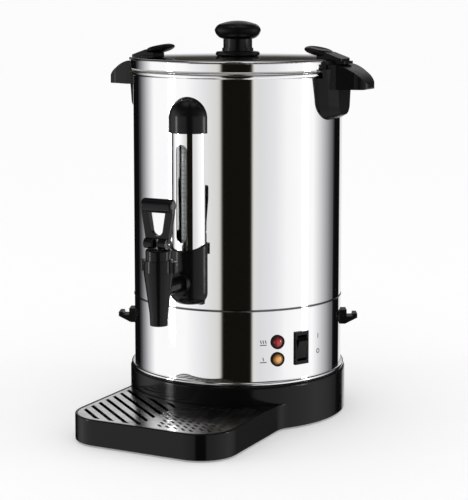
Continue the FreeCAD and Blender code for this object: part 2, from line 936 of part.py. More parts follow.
def inlet_pin(x, z):
    back = body_radius - inlet_body_depth - terminal_length
    front = body_radius + inlet_flange_thickness - inlet_socket_depth + inlet_pin_length
    return block(x - inlet_pin_width / 2, x + inlet_pin_width / 2, back, front,
                 z - inlet_pin_thickness / 2, z + inlet_pin_thickness / 2)


def make_inlet_screws():
    near = body_radius - inlet_screw_grip
    head = body_radius + inlet_flange_thickness
    screws = []
    for height in inlet_screw_heights():
        shank = radial_cylinder(inlet_screw_radius, near, head, 180, height)
        cap = radial_cylinder(inlet_screw_head_radius, head, head + inlet_screw_head_height, 180, height)
        screws.append(shank.fuse(cap).removeSplitter())
    return screws


# Lamps and switch

def lens(height):
    """A jewel lens: a shank through the shell with a domed front."""
    back = body_radius - lens_shank
    shank = body_radius + lens_proud
    return turned_outwards([
        (0, back),
        (lens_radius, back),
        (lens_radius, shank),
        crown(lens_radius, lens_dome, shank + lens_dome),
    ], z_base_top + height, lamp_azimuth)


def bezel(height):
    z = z_base_top + height
    near = body_radius - overshoot
    far = body_radius + bezel_proud
    outer = radial_cylinder(bezel_radius, near, far, lamp_azimuth, z)
    inner = radial_cylinder(lens_radius + running_gap, near, far, lamp_azimuth, z)
    return outer.cut(inner).cut(cylinder(body_radius, z_seam, (0, 0, 0)))


def lamp_body(height):
    z = z_base_top + height
    back = body_radius - lamp_depth
    body = radial_cylinder(lens_radius, back, body_radius - lens_shank, lamp_azimuth, z)
    for side in (-1, 1):
        middle = side * lens_radius / 2
        leg = block(middle - lamp_leg_width / 2, middle + lamp_leg_width / 2, -back, -back + lamp_leg_length,
                    z - lamp_leg_width / 2, z + lamp_leg_width / 2)
        body = body.fuse(swung(leg, lamp_azimuth))
    return body


def switch_z():
    return z_base_top + switch_height


def make_switch_frame():
    z = switch_z()
    front = -(body_radius + switch_flange)
    flange = block(-switch_width / 2, switch_width / 2, front, -body_radius + overshoot,
                   z - switch_length / 2, z + switch_length / 2)
    flange = flange.cut(cylinder(body_radius, z_seam, (0, 0, 0)))
    back = -(body_radius - switch_body_depth)
    body = block(-switch_body_width / 2, switch_body_width / 2, front, back,
                 z - switch_body_length / 2, z + switch_body_length / 2)
    solid = flange.fuse(body).removeSplitter()
    half_width = rocker_half_width() + rocker_gap
    half_length = rocker_round + rocker_gap
    solid = solid.cut(block(-half_width, half_width, front, back - 2 * switch_wall,
                            z - half_length, z + half_length))
    pivot_y = -(body_radius - rocker_pivot_depth)
    solid = solid.cut(cylinder(rocker_trunnion_radius + running_gap, switch_width,
                               (-switch_width / 2, pivot_y, z), X_AXIS))
    for tab in terminal_tabs():
        solid = solid.cut(tab)
    return swung(solid, switch_azimuth)


def rocker_half_width():
    return switch_body_width / 2 - switch_wall - rocker_gap


def make_switch_rocker():
    """A two-faced rocker on trunnions, its ends round about the pivot."""
    z = switch_z()
    half = rocker_half_width()
    y_pivot = -(body_radius - rocker_pivot_depth)
    drum = cylinder(rocker_round, 2 * half, (-half, y_pivot, z), X_AXIS)
    rise = rocker_round * tan(radians(rocker_tilt))
    face_y = y_pivot - rocker_front
    outline = [
        (face_y, z),
        (face_y - rise, z + rocker_round),
        (y_pivot + rocker_back, z + rocker_round),
        (y_pivot + rocker_back, z - rocker_round),
        (face_y - rise, z - rocker_round),
    ]
    wedge = Part.Face(closed_wire(outline, lambda p: Vector(-half, p[0], p[1])))
    rocker = wedge.extrude(Vector(2 * half, 0, 0)).common(drum)
    rocker.rotate(Vector(0, y_pivot, z), X_AXIS, rocker_tilt)
    trunnion_half = half + rocker_gap + rocker_trunnion_reach
    rocker = rocker.fuse(cylinder(rocker_trunnion_radius, 2 * trunnion_half,
                                  (-trunnion_half, y_pivot, z), X_AXIS))
    return swung(rocker, switch_azimuth)


def terminal_tabs():
    z = switch_z()
    back = -(body_radius - switch_body_depth)
    tabs = []
    for k in (-1, 0, 1):
        middle = z + k * terminal_spacing
        tabs.append(block(-terminal_width / 2, terminal_width / 2,
                          back - 2 * switch_wall, back + terminal_length,
                          middle - terminal_thickness / 2, middle + terminal_thickness / 2))
    return tabs


# Level gauge

def gauge_screw_z():
    return z_tap + gauge_cap_rise + gauge_screw_rise


def outside_tank(shape):
    return shape.cut(cylinder(body_radius, 2 * tank_height, (0, 0, 0)))


def make_gauge_lower_block():
    low = z_tap - gauge_block_drop
    back_top = z_tap + gauge_block_back_rise
    front_top = z_tap + gauge_block_front_rise
    radius = gauge_block_radius
    edge = gauge_block_round
    solid = turned([
        (0, low),
        (radius - edge, low),
        ((radius - edge * (1 - sqrt(0.5)), low + edge * (1 - sqrt(0.5))), (radius, low + edge)),
        (radius, back_top),
        (0, back_top),
    ], 0, -gauge_depth)
    slope = [(-body_radius, back_top), (-gauge_depth - radius, front_top),
             (-gauge_depth - radius - overshoot, back_top + overshoot), (-body_radius, back_top + overshoot)]
    wedge = Part.Face(closed_wire(slope, lambda p: Vector(-radius - overshoot, p[0], p[1])))
    solid = solid.cut(wedge.extrude(Vector(2 * (radius + overshoot), 0, 0)))
    solid = outside_tank(solid)
    seat = front_top - cover_seat_depth
    pocket = cylinder(cover_radius + fit_gap / 2, back_top, (0, -gauge_depth, seat))
    core = cylinder(cover_radius - sheet - fit_gap / 2, back_top, (0, -gauge_depth, seat))
    solid = solid.cut(pocket.cut(core))
    glass_low = front_top - glass_seat_drop
    solid = solid.cut(cylinder(grommet_radius, back_top, (0, -glass_axis_depth, glass_low)))
    channel = glass_radius - glass_wall
    solid = solid.cut(cylinder(channel, glass_low - z_tap, (0, -glass_axis_depth, z_tap)))
    return solid.cut(radial_cylinder(shank_radius + shank_gap, body_radius - overshoot,
                                     gauge_depth + radius + overshoot, 0, z_tap))


def make_gauge_top_cap():
    low = z_tap + gauge_cap_rise
    radius = gauge_block_radius
    shoulder = low + gauge_cap_straight
    solid = turned([
        (0, low),
        (radius, low),
        (radius, shoulder),
        ((radius * sqrt(0.5), shoulder + radius * sqrt(0.5)), (0, shoulder + radius)),
    ], 0, -gauge_depth)
    solid = outside_tank(solid)
    pocket = cylinder(cover_radius + fit_gap / 2, cover_seat_depth, (0, -gauge_depth, low))
    core = cylinder(cover_radius - sheet - fit_gap / 2, cover_seat_depth, (0, -gauge_depth, low))
    solid = solid.cut(pocket.cut(core))
    solid = solid.cut(cylinder(grommet_radius, glass_seat_depth + grommet_height,
                               (0, -glass_axis_depth, low)))
    return solid.cut(radial_cylinder(gauge_screw_radius, body_radius - overshoot,
                                     body_radius + gauge_screw_grip + screw_end_gap, 0, gauge_screw_z()))


def make_gauge_cover():
    """A bright half tube with a long sight slot."""
    low = z_tap + gauge_block_front_rise - cover_seat_depth
    high = z_tap + gauge_cap_rise + cover_seat_depth
    tube = cylinder(cover_radius, high - low, (0, -gauge_depth, low))
    tube = tube.cut(cylinder(cover_radius - sheet, high - low, (0, -gauge_depth, low)))
    half = cover_slot_width / 2
    slot_low = z_tap + cover_slot_low_rise + half
    slot_high = z_tap + cover_slot_high_rise - half
    outline = [
        (-half, slot_low),
        ((0, slot_low - half), (half, slot_low)),
        (half, slot_high),
        ((0, slot_high + half), (-half, slot_high)),
    ]
    slot = Part.Face(closed_wire(outline, lambda p: Vector(p[0], -gauge_depth - 2 * cover_radius, p[1])))
    return outside_tank(tube.cut(slot.extrude(Vector(0, 2 * cover_radius, 0))))


def glass_low_z():
    return z_tap + gauge_block_front_rise - glass_seat_drop


def glass_high_z():
    return z_tap + gauge_cap_rise + glass_seat_depth + grommet_height


def make_gauge_glass():
    height = glass_high_z() - glass_low_z()
    tube = cylinder(glass_radius, height, (0, -glass_axis_depth, glass_low_z()))
    return tube.cut(cylinder(glass_radius - glass_wall, height, (0, -glass_axis_depth, glass_low_z())))


def make_gauge_seals():
    seals = []
    for low in (glass_low_z(), glass_high_z() - grommet_height):
        outer = cylinder(grommet_radius, grommet_height, (0, -glass_axis_depth, low))
        seals.append(outer.cut(cylinder(glass_radius, grommet_height, (0, -glass_axis_depth, low))))
    return seals


def make_gauge_cap_screw():
    inside = tank_inner
    head = radial_cylinder(gauge_screw_head_radius, inside - gauge_screw_head_height - sheet, inside - sheet,
                           0, gauge_screw_z())
    shank = radial_cylinder(gauge_screw_radius, inside - sheet, body_radius + gauge_screw_grip,
                            0, gauge_screw_z())
    return head.fuse(shank).removeSplitter()


# Tap

def make_tap_body():
    """Vertical tap body with its spout and the hollow shank that goes through the tank wall."""
    tip = z_tap - spout_drop
    waist = z_tap - spout_waist_drop
    shoulder = z_tap + tap_shoulder_rise
    solid = turned([
        (0, tip),
        (spout_tip_radius, tip),
        (spout_waist_radius, waist),
        (tap_shoulder_radius, shoulder),
        (0, shoulder),
    ], 0, -tap_reach)
    shank_end = -(body_radius - shank_inside)
    solid = solid.fuse(cylinder(shank_radius, tap_reach + shank_end, (0, -tap_reach, z_tap), Y_AXIS))
    seat = z_tap - seat_drop
    solid = solid.cut(cylinder(chamber_radius, shoulder - seat, (0, -tap_reach, seat)))
    solid = solid.cut(cylinder(spout_bore, seat - tip, (0, -tap_reach, tip)))
    solid = solid.cut(cylinder(shank_bore, tap_reach + shank_end, (0, -tap_reach, z_tap), Y_AXIS))
    feed = cylinder(glass_radius - glass_wall, shank_radius, (0, -glass_axis_depth, z_tap))
    return solid.cut(feed)


def gasket_face():
    """Distance from the axis where a flat washer just touches the tank's curved inner wall."""
    return sqrt(tank_inner ** 2 - gasket_radius ** 2)


def make_tap_gasket():
    far = gasket_face()
    outer = radial_cylinder(gasket_radius, far - gasket_thickness, far, 0, z_tap)
    return outer.cut(radial_cylinder(shank_radius, far - gasket_thickness, far, 0, z_tap))


def make_tap_inner_nut():
    far = gasket_face() - gasket_thickness
    nut = hexagon(nut_across_flats, nut_thickness, (0, -far, z_tap), Y_AXIS)
    return nut.cut(radial_cylinder(shank_radius, far - nut_thickness, far, 0, z_tap))


def make_tap_lock_ring():
    near = gauge_depth + gauge_block_radius
    far = near + lock_ring_thickness
    outer = radial_cylinder(lock_ring_radius, near, far, 0, z_tap)
    return outer.cut(radial_cylinder(shank_radius, near, far, 0, z_tap))


def z_bonnet():
    return z_tap + tap_shoulder_rise


def z_bonnet_top():
    return z_bonnet() + bonnet_collar_height + bonnet_dome_height


def make_tap_bonnet():
    """Screw-on bonnet: a collar with two finger wings, a dome and a plug that closes the chamber."""
    low = z_bonnet()
    collar = low + bonnet_collar_height
    high = z_bonnet_top()
    turn = bonnet_dome_round * (1 - sqrt(0.5))
    solid = turned([
        (0, low - bonnet_plug_depth),
        (chamber_radius, low - bonnet_plug_depth),
        (chamber_radius, low),
        (bonnet_collar_radius, low),
        (bonnet_collar_radius, collar),
        (bonnet_dome_radius, collar),
        (bonnet_dome_radius, high - bonnet_dome_round),
        ((bonnet_dome_radius - turn, high - turn), (bonnet_dome_radius - bonnet_dome_round, high)),
        (0, high),
    ], 0, -tap_reach)
    wing = block(-wing_half_span, wing_half_span, -tap_reach - wing_thickness / 2,
                 -tap_reach + wing_thickness / 2, low, collar)
    wing = rounded(wing, wing_round, is_upright)
    solid = solid.fuse(wing)
    cavity = high - bonnet_roof - low + bonnet_plug_depth
    solid = solid.cut(cylinder(chamber_radius - bonnet_wall, cavity,
                               (0, -tap_reach, low - bonnet_plug_depth)))
    return solid.cut(cylinder(stem_radius + stem_gap, 2 * bonnet_roof, (0, -tap_reach, high - bonnet_roof)))


def z_lever_pin():
    return z_bonnet_top() + cam_gap + cam_radius


def seat_z():
    return z_tap - seat_drop


def make_tap_seat_cup():
    """A soft bell that closes the seat, pushed over the stem's foot."""
    low = seat_z() + seat_gap
    high = low + seat_cup_height
    cup = turned([
        (0, low),
        (seat_cup_radius, low),
        (seat_cup_radius, low + seat_cup_height / 2),
        (seat_cup_radius - seat_cup_taper, high),
        (0, high),
    ], 0, -tap_reach)
    return cup.cut(cylinder(stem_radius, seat_cup_height, (0, -tap_reach, low + seat_cup_height / 2)))


def make_tap_stem():
    low = seat_z() + seat_gap + seat_cup_height / 2
    high = z_lever_pin() + stem_above_pin
    stem = cylinder(stem_radius, high - low, (0, -tap_reach, low))
    eye = cylinder(lever_pin_radius + running_gap, 4 * stem_radius,
                   (-2 * stem_radius, -tap_reach, z_lever_pin()), X_AXIS)
    return stem.cut(eye)


def spring_low_z():
    return seat_z() + seat_gap + seat_cup_height + spring_wire


def spring_high_z():
    return z_bonnet_top() - bonnet_roof - spring_wire


def spring_point(turns):
    """A point of the spring's wire, so many turns up from its foot."""
    angle = 2 * pi * turns
    z = spring_low_z() + (spring_high_z() - spring_low_z()) * turns / spring_turns
    return Vector(spring_radius * cos(angle), spring_radius * sin(angle) - tap_reach, z)


def make_tap_spring():
    """An open coil spring between the seat cup and the bonnet's roof, from quarter-turn arcs."""
    quarters = [k / 4 for k in range(int(4 * spring_turns))]
    arcs = [Part.Arc(spring_point(k), spring_point(k + 0.125), spring_point(k + 0.25)) for k in quarters]
    section = Part.Wire(Part.makeCircle(spring_wire, spring_point(0), Y_AXIS))
    return Part.Wire([arc.toShape() for arc in arcs]).makePipeShell([section], True, False)


def make_tap_lever():
    """An upright loop with a thumb bar, on a cam that rides the bonnet."""
    pin_z = z_lever_pin()
    y = -tap_reach
    cam_outline = [
        (y, pin_z - cam_radius),
        ((y + cam_radius, pin_z), (y, pin_z + cam_radius)),
        (y - cam_throw, pin_z + cam_radius),
        ((y - cam_throw - cam_radius, pin_z), (y - cam_throw, pin_z - cam_radius)),
    ]
    face = Part.Face(closed_wire(cam_outline, lambda p: Vector(-cam_half_width, p[0], p[1])))
    cam = face.extrude(Vector(2 * cam_half_width, 0, 0))
    top = pin_z + lever_loop_rise
    bar_z = top - thumb_bar_radius
    wide = lever_top_half_width
    loop_outline = [
        (-cam_half_width, pin_z),
        (cam_half_width, pin_z),
        (wide, bar_z - thumb_bar_radius),
        (wide, bar_z),
        (-wide, bar_z),
        (-wide, bar_z - thumb_bar_radius),
    ]
    back = y - lever_thickness / 2
    loop = Part.Face(closed_wire(loop_outline, lambda p: Vector(p[0], back, p[1])))
    loop = loop.extrude(Vector(0, lever_thickness, 0))
    bar = cylinder(thumb_bar_radius, 2 * wide, (-wide, y, bar_z), X_AXIS)
    bar = rounded(bar, thumb_bar_round, lambda e: e.BoundBox.XLength < 1e-4)
    lever = cam.fuse([loop, bar])
    foot = lever_hole_foot_half_width
    head = lever_hole_half_width
    low = pin_z + lever_hole_rise
    high = bar_z - thumb_bar_radius
    hole_outline = [
        (-foot, low + foot),
        ((0, low), (foot, low + foot)),
        (head, high),
        (-head, high),
    ]
    hole = Part.Face(closed_wire(hole_outline, lambda p: Vector(p[0], y - 2 * thumb_bar_radius, p[1])))
    lever = lever.cut(hole.extrude(Vector(0, 4 * thumb_bar_radius, 0)))
    slot = stem_radius + lever_slot_gap
    ceiling = pin_z + hypot(stem_above_pin, stem_radius) + lever_slot_gap
    behind = y + hypot(stem_above_pin, stem_radius) + lever_slot_gap
    lever = lever.cut(block(-slot, slot, y - 3 * cam_radius, behind, pin_z - 2 * cam_radius, ceiling))
    return lever.cut(cylinder(lever_pin_radius, 2 * cam_half_width, (-cam_half_width, y, pin_z), X_AXIS))


def make_tap_lever_pin():
    return cylinder(lever_pin_radius, 2 * cam_half_width,
                    (-cam_half_width, -tap_reach, z_lever_pin()), X_AXIS)


# Handles

def handle_screw_heights():
    return (z_tank_top - handle_screw_high_drop, z_tank_top - handle_screw_low_drop)


def shield(distance, inset):
    """The handle's U-shaped outline in an upright plane at a distance from the axis, drawn in by inset."""
    top = z_tank_top + handle_top_rise
    foot = z_tank_top - handle_foot_drop + handle_foot_share * inset
    bend = handle_foot_round - handle_round_share * inset
    turn = bend * (1 - sqrt(0.5))
    wide = handle_top_half_width - inset
    narrow = handle_foot_half_width - inset
    points = [
        (-wide, top),
        (wide, top),
        (narrow, foot + bend),
        ((narrow - turn, foot + turn), (narrow - bend, foot)),
        (-narrow + bend, foot),
        ((-narrow + turn, foot + turn), (-narrow, foot + bend)),
    ]
    return closed_wire(points, lambda p: Vector(distance, p[0], p[1]))


def make_handle():
    """The right handle: a shield on the wall that steps out to a flat face, and a ledge to lift by."""
    flange = body_radius + handle_flange_thickness
    step = body_radius + handle_step_thickness
    face = body_radius + handle_thickness
    outlines = [shield(body_radius / 2, 0), shield(flange, 0), shield(step, handle_step_inset),
                shield(face, handle_face_inset)]
    solid = make_grip()
    for near, far in zip(outlines, outlines[1:]):
        solid = solid.fuse(Part.makeLoft([near, far], True, True))
    solid = solid.cut(cylinder(body_radius + fit_gap / 2, 2 * z_tank_top, (0, 0, 0)))
    skirt = lid_radius + ear_clip_gap + ear_clip_thickness + handle_skirt_gap
    bead_low = z_bead_top - 2 * rim_bead - handle_skirt_gap
    solid = solid.cut(cylinder(skirt, z_tank_top, (0, 0, bead_low)))
    for height in handle_screw_heights():
        solid = solid.cut(radial_cylinder(handle_screw_radius, body_radius - overshoot,
                                          body_radius + handle_screw_grip, 90, height))
    return solid.removeSplitter()


def make_grip():
    """The ledge: arched on top, flat below, narrower at its rounded tip."""
    under = z_tank_top - grip_underside_drop
    top = z_tank_top + grip_rise
    root = body_radius - overshoot
    tip = grip_reach
    flat = body_radius + grip_flat
    edge = under + grip_edge_height
    turn = grip_edge_round * (1 - sqrt(0.5))
    side = [
        (root, under),
        (tip - grip_edge_round, under),
        ((tip - turn, under + turn), (tip, under + grip_edge_round)),
        (tip, edge),
        ((flat + grip_crest_along * (tip - flat), edge + grip_crest_up * (top - edge)), (flat, top)),
        (root, top),
    ]
    profile = Part.Face(closed_wire(side, lambda p: Vector(p[0], -2 * grip_root_half_width, p[1])))
    solid = profile.extrude(Vector(0, 4 * grip_root_half_width, 0))
    bend = grip_corner_radius
    turn = bend * (1 - sqrt(0.5))
    taper = body_radius + grip_taper_start
    plan = [
        (root, grip_root_half_width),
        (root, -grip_root_half_width),
        (taper, -grip_root_half_width),
        (tip - bend, -grip_tip_half_width),
        ((tip - turn, -grip_tip_half_width + turn), (tip, -grip_tip_half_width + bend)),
        (tip, grip_tip_half_width - bend),
        ((tip - turn, grip_tip_half_width - turn), (tip - bend, grip_tip_half_width)),
        (taper, grip_root_half_width),
    ]
    return solid.common(prism(plan, under, top))


def make_handle_screws():
    screws = []
    for azimuth in (-90, 90):
        for height in handle_screw_heights():
            inner = tank_inner - washer_thickness - washer_gap
            head = radial_cylinder(handle_screw_head_radius, inner - handle_screw_head_height, inner,
                                   azimuth, height)
            shank = radial_cylinder(handle_screw_radius, inner, body_radius + handle_screw_grip,
                                    azimuth, height)
            screws.append(head.fuse(shank).removeSplitter())
    return screws


def make_handle_washers():
    washers = []
    for azimuth in (-90, 90):
        for height in handle_screw_heights():
            far = tank_inner - washer_gap
            near = far - washer_thickness
            outer = radial_cylinder(washer_radius, near, far, azimuth, height)
            washers.append(outer.cut(radial_cylinder(handle_screw_radius, near, far, azimuth, height)))
    return washers


# Lid

def make_lid_seal():
    outer = body_radius + rim_bead / 2
    lip_outer = tank_inner - lid_lip_gap
    lip_inner = lip_outer - seal_lip_thickness
    return turned([
        (lip_inner, z_seal - seal_lip_depth),
        (lip_outer, z_seal - seal_lip_depth),
        (lip_outer, z_seal),
        (outer, z_seal),
        (outer, z_seal + seal_thickness),
        (lip_inner, z_seal + seal_thickness),
    ])


def lid_profile(inset):
    """The lid's upper surface from its skirt to its centre, drawn in by inset."""
    radius = lid_radius - inset
    shoulder = z_lid_shoulder - inset
    top = z_lid_crown - inset
    bend = lid_shoulder_round - inset
    inner = radius - bend
    turn = bend * (1 - sqrt(0.5))
    return [
        (radius, shoulder),
        ((radius - turn, shoulder + bend - turn), (inner, shoulder + bend)),
        crown(inner, top - shoulder - bend, top),
    ]


def make_lid():
    lip_outer = tank_inner - lid_lip_gap - seal_lip_thickness - lid_lip_gap
    lip_inner = lip_outer - sheet
    lip_low = z_lid - lid_lip_depth
    outer = turned([(0, lip_low), (lip_outer, lip_low), (lip_outer, z_lid), (lid_radius, z_lid)]
                   + lid_profile(0))
    inner = turned([(0, lip_low), (lip_inner, lip_low), (lip_inner, z_lid + sheet),
                    (lid_radius - sheet, z_lid + sheet)] + lid_profile(sheet))
    lid = outer.cut(inner)
    lid = lid.cut(cylinder(knob_screw_radius + fit_gap, 2 * overshoot, (0, 0, z_lid_crown - overshoot)))
    for azimuth in (-90, 90):
        for side in (-1, 1):
            lid = lid.cut(swung(rivet_core(side * rivet_spread), azimuth))
    return lid


def cap_point(angle, middle):
    """A point of the knob's cap: half an ellipse below its widest level and half above it."""
    height = knob_cap_upper if angle > 0 else knob_cap_lower
    return (knob_cap_radius * cos(radians(angle)), middle + height * sin(radians(angle)))


def knob_profile():
    low = z_knob()
    skirt_top = low + knob_skirt_height
    neck_top = skirt_top + knob_neck_height
    middle = neck_top + knob_cap_lower
    cap = [cap_point(angle, middle) for angle in knob_cap_angles]
    return [
        (0, low),
        (knob_skirt_radius - knob_skirt_undercut, low),
        ((knob_skirt_radius, low + 0.4 * knob_skirt_height),
         (knob_skirt_radius - 2 * knob_skirt_undercut, low + 0.8 * knob_skirt_height)),
        (knob_neck_radius + knob_ring_proud, skirt_top),
        (knob_neck_radius + knob_ring_proud, skirt_top + knob_ring_height),
        (knob_neck_radius, skirt_top + knob_ring_height),
        (knob_neck_radius, cap[0][1]),
        cap[0],
        (cap[1], cap[2]),
        (cap[3], cap[4]),
        crown(cap[4][0], middle + knob_cap_upper - cap[4][1], middle + knob_cap_upper),
    ]


def z_knob():
    """The knob's foot, where its rim meets the domed lid."""
    return z_lid_crown + fit_gap / 2


def make_lid_knob():
    knob = turned(knob_profile())
    return knob.cut(cylinder(knob_screw_radius, knob_screw_grip, (0, 0, z_knob())))


def make_knob_washer():
    high = z_lid_crown - sheet - fit_gap
    return ring(knob_washer_radius, knob_screw_radius, high - knob_washer_thickness, high)


def make_knob_screw():
    high = z_lid_crown - sheet - knob_washer_thickness - fit_gap
    low = high - knob_screw_head_height
    return turned([
        (0, low),
        (knob_screw_head_radius, low),
        (knob_screw_head_radius, high),
        (knob_screw_radius, high),
        (knob_screw_radius, z_knob() + knob_screw_grip - screw_end_gap),
        (0, z_knob() + knob_screw_grip - screw_end_gap),
    ])


def rivet_z():
    return z_lid + lid_skirt_height / 2


def rivet_core(x):
    """The room of a rivet through the lid's skirt and the ear's clip, for the ear at azimuth 0."""
    near = lid_radius - 2 * ear_clip_thickness
    return cylinder(rivet_radius, 4 * ear_clip_thickness, (x, -near, rivet_z()), Vector(0, -1, 0))


def make_lid_ear():
    """The right ear: a clip on the lid's skirt, a block over the handle and an arm to a dished thumb pad."""
    clip_inner = lid_radius + ear_clip_gap
    clip_outer = clip_inner + ear_clip_thickness
    foot_low = z_tank_top + grip_rise + ear_clearance
    clip_top = z_lid_shoulder + ear_clip_rise
    slab = block(0, 2 * lid_radius, -ear_clip_half_width, ear_clip_half_width, z_lid, clip_top)
    clip = ring(clip_outer, clip_inner, z_lid, clip_top).common(slab)
    foot_top = foot_low + ear_foot_height
    block_top = foot_low + ear_block_height
    pad_z = z_lid_shoulder + ear_pad_rise
    pad_radius = lid_radius - ear_pad_inset
    outline = [
        (lid_radius - ear_arm_end, foot_low),
        (lid_radius + ear_foot_reach, foot_low),
        (lid_radius + ear_foot_reach, foot_top),
        (lid_radius + ear_block_reach, foot_top),
        (lid_radius + ear_block_reach, block_top),
        (lid_radius - ear_arm_crest, z_lid_shoulder + ear_arm_crest_rise),
        (pad_radius, pad_z),
        (lid_radius - ear_arm_end, pad_z - ear_pad_thickness / 2),
    ]
    side = Part.Face(closed_wire(outline, lambda p: Vector(p[0], -ear_arm_half_width, p[1])))
    arm = side.extrude(Vector(0, 2 * ear_arm_half_width, 0))
    arm = rounded(arm, ear_arm_round, lambda e: is_upright(e) and e.BoundBox.XMin > lid_radius)
    pad = stretched_ball(ear_pad_half_width, ear_pad_half_length, ear_pad_thickness)
    dish = stretched_ball(ear_pad_half_width - ear_pad_rim, ear_pad_half_length - ear_pad_rim,
                          2 * ear_pad_dish)
    pad = pad.cut(moved(dish, 0, 0, ear_pad_thickness))
    pad.rotate(ORIGIN, Y_AXIS, ear_pad_tilt)
    return clip.fuse([arm, moved(pad, pad_radius, 0, pad_z)])


def stretched_ball(x_half, y_half, z_half):
    stretch = FreeCAD.Matrix()
    stretch.scale(x_half, y_half, z_half)
    return Part.makeSphere(1.0, ORIGIN).transformGeometry(stretch)


def cut_ear(solid):
    """Clear the ear from the lid's skirt and dome and take the rivet holes."""
    skirt = lid_radius + ear_clip_gap
    bend = lid_shoulder_round + ear_clip_gap
    turn = bend * (1 - sqrt(0.5))
    inner = turned([
        (0, z_lid - overshoot),
        (skirt, z_lid - overshoot),
        (skirt, z_lid_shoulder),
        ((skirt - turn, z_lid_shoulder + bend - turn), (skirt - bend, z_lid_shoulder + bend)),
        (0, z_lid_crown + ear_lid_gap),
    ])
    solid = solid.cut(inner)
    for side in (-1, 1):
        solid = solid.cut(swung(rivet_core(side * rivet_spread), 90))
    return solid.removeSplitter()


def make_ear_rivets():
    rivets = []
    inner_wall = lid_radius - sheet
    outer_wall = lid_radius + ear_clip_gap + ear_clip_thickness
    for azimuth in (-90, 90):
        for side in (-1, 1):
            x = side * rivet_spread
            near = sqrt(inner_wall ** 2 - (abs(x) + rivet_head_radius) ** 2) - ear_clip_gap
            far = sqrt(outer_wall ** 2 - (abs(x) + rivet_radius) ** 2)
            head = cylinder(rivet_head_radius, rivet_head_height, (x, -near, rivet_z()), Y_AXIS)
            shank = cylinder(rivet_radius, far - near, (x, -near, rivet_z()), Vector(0, -1, 0))
            rivets.append(swung(head.fuse(shank).removeSplitter(), azimuth))
    return rivets


# Cord hooks

def make_cord_hook(azimuth):
    """A cleat for the lead: a root block, an arm and a short upturned tip, with a peg into the shell."""
    z = z_base_top + hook_height
    root = body_radius - overshoot
    face = body_radius + hook_root_depth
    tip = body_radius + hook_reach
    channel = z + hook_channel_rise
    half = hook_root_height / 2
    outline = [
        (root, z - half),
        (face - hook_root_taper, z - half),
        (tip, z - hook_tip_drop),
        (tip, z + hook_tip_rise),
        (tip - hook_arm_thickness, z + hook_tip_rise),
        (tip - hook_arm_thickness - hook_channel_taper, channel),
        (face, channel),
        (face, z + half),
        (root, z + half),
    ]
    side = Part.Face(closed_wire(outline, lambda p: Vector(-hook_width / 2, -p[0], p[1])))
    hook = side.extrude(Vector(hook_width, 0, 0)).cut(cylinder(body_radius, z_seam, (0, 0, 0)))
    peg = radial_cylinder(hook_peg_radius, body_radius - hook_peg_length, face, 0, z)
    return swung(hook.fuse(peg).removeSplitter(), azimuth)


def write(name, solids):
    """One STEP file per node; a list is a group of separate solids."""
    group = solids if isinstance(solids, list) else [solids]
    pieces = [solid for shape in group for solid in shape.Solids]
    shape = pieces[0] if len(pieces) == 1 else Part.makeCompound(pieces)
    shape.exportStep("parts/" + name + ".step")


def main():
    os.makedirs("parts", exist_ok=True)
    ear = cut_ear(make_lid_ear())
    handle = make_handle()
    nodes = {
        "base_housing": make_base_housing(),
        "base_plate": make_base_plate(),
        "rubber_feet": make_rubber_feet(),
        "base_screws": make_base_screws(),
        "drip_grille": make_drip_grille(),
        "bottom_trim_ring": make_bottom_trim_ring(),
        "lower_shell": make_lower_shell(),
        "seam_ring": make_seam_ring(),
        "tank": make_tank(),
        "tank_rim": make_tank_rim(),
        "tie_rods": make_tie_rods(),
        "tie_nuts": make_tie_nuts(),
        "heat_plate": make_heat_plate(),
        "boiling_element": bent_heater(element_ring_radius, element_tube_radius, 180),
        "warming_element": bent_heater(warmer_ring_radius, warmer_tube_radius, 0),
        "boil_thermostat": sensor(90),
        "warm_thermostat": sensor(210),
        "thermal_cutout": sensor(330),
        "terminal_block": make_terminal_block(),
        "wiring": make_wiring(),
        "power_inlet": make_power_inlet(),
        "inlet_pins": [inlet_pin(x, z) for x, z in inlet_pin_places()],
        "inlet_screws": make_inlet_screws(),
        "red_lens": lens(red_lamp_height),
        "amber_lens": lens(amber_lamp_height),
        "lamp_bezels": [bezel(red_lamp_height), bezel(amber_lamp_height)],
        "lamp_bodies": [lamp_body(red_lamp_height), lamp_body(amber_lamp_height)],
        "switch_frame": make_switch_frame(),
        "switch_rocker": make_switch_rocker(),
        "switch_terminals": [swung(tab, switch_azimuth) for tab in terminal_tabs()],
        "gauge_lower_block": make_gauge_lower_block(),
        "gauge_top_cap": make_gauge_top_cap(),
        "gauge_cover": make_gauge_cover(),
        "gauge_glass": make_gauge_glass(),
        "gauge_seals": make_gauge_seals(),
        "gauge_cap_screw": make_gauge_cap_screw(),
        "tap_body": make_tap_body(),
        "tap_gasket": make_tap_gasket(),
        "tap_inner_nut": make_tap_inner_nut(),
        "tap_lock_ring": make_tap_lock_ring(),
        "tap_bonnet": make_tap_bonnet(),
        "tap_stem": make_tap_stem(),
        "tap_seat_cup": make_tap_seat_cup(),
        "tap_spring": make_tap_spring(),
        "tap_lever": make_tap_lever(),
        "tap_lever_pin": make_tap_lever_pin(),
        "handle_right": handle,
        "handle_left": mirrored_x(handle),
        "handle_screws": make_handle_screws(),
        "handle_washers": make_handle_washers(),
        "lid": make_lid(),
        "lid_seal": make_lid_seal(),
        "lid_knob": make_lid_knob(),
        "knob_washer": make_knob_washer(),
        "knob_screw": make_knob_screw(),
        "lid_ear_right": ear,
        "lid_ear_left": mirrored_x(ear),
        "ear_rivets": make_ear_rivets(),
        "cord_hooks": [make_cord_hook(azimuth) for azimuth in hook_azimuths],
    }
    for name, solids in nodes.items():
        write(name, solids)
    print(len(nodes), "nodes")


main()
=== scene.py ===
import math

import bmesh
import bpy
from mathutils import Matrix, Vector


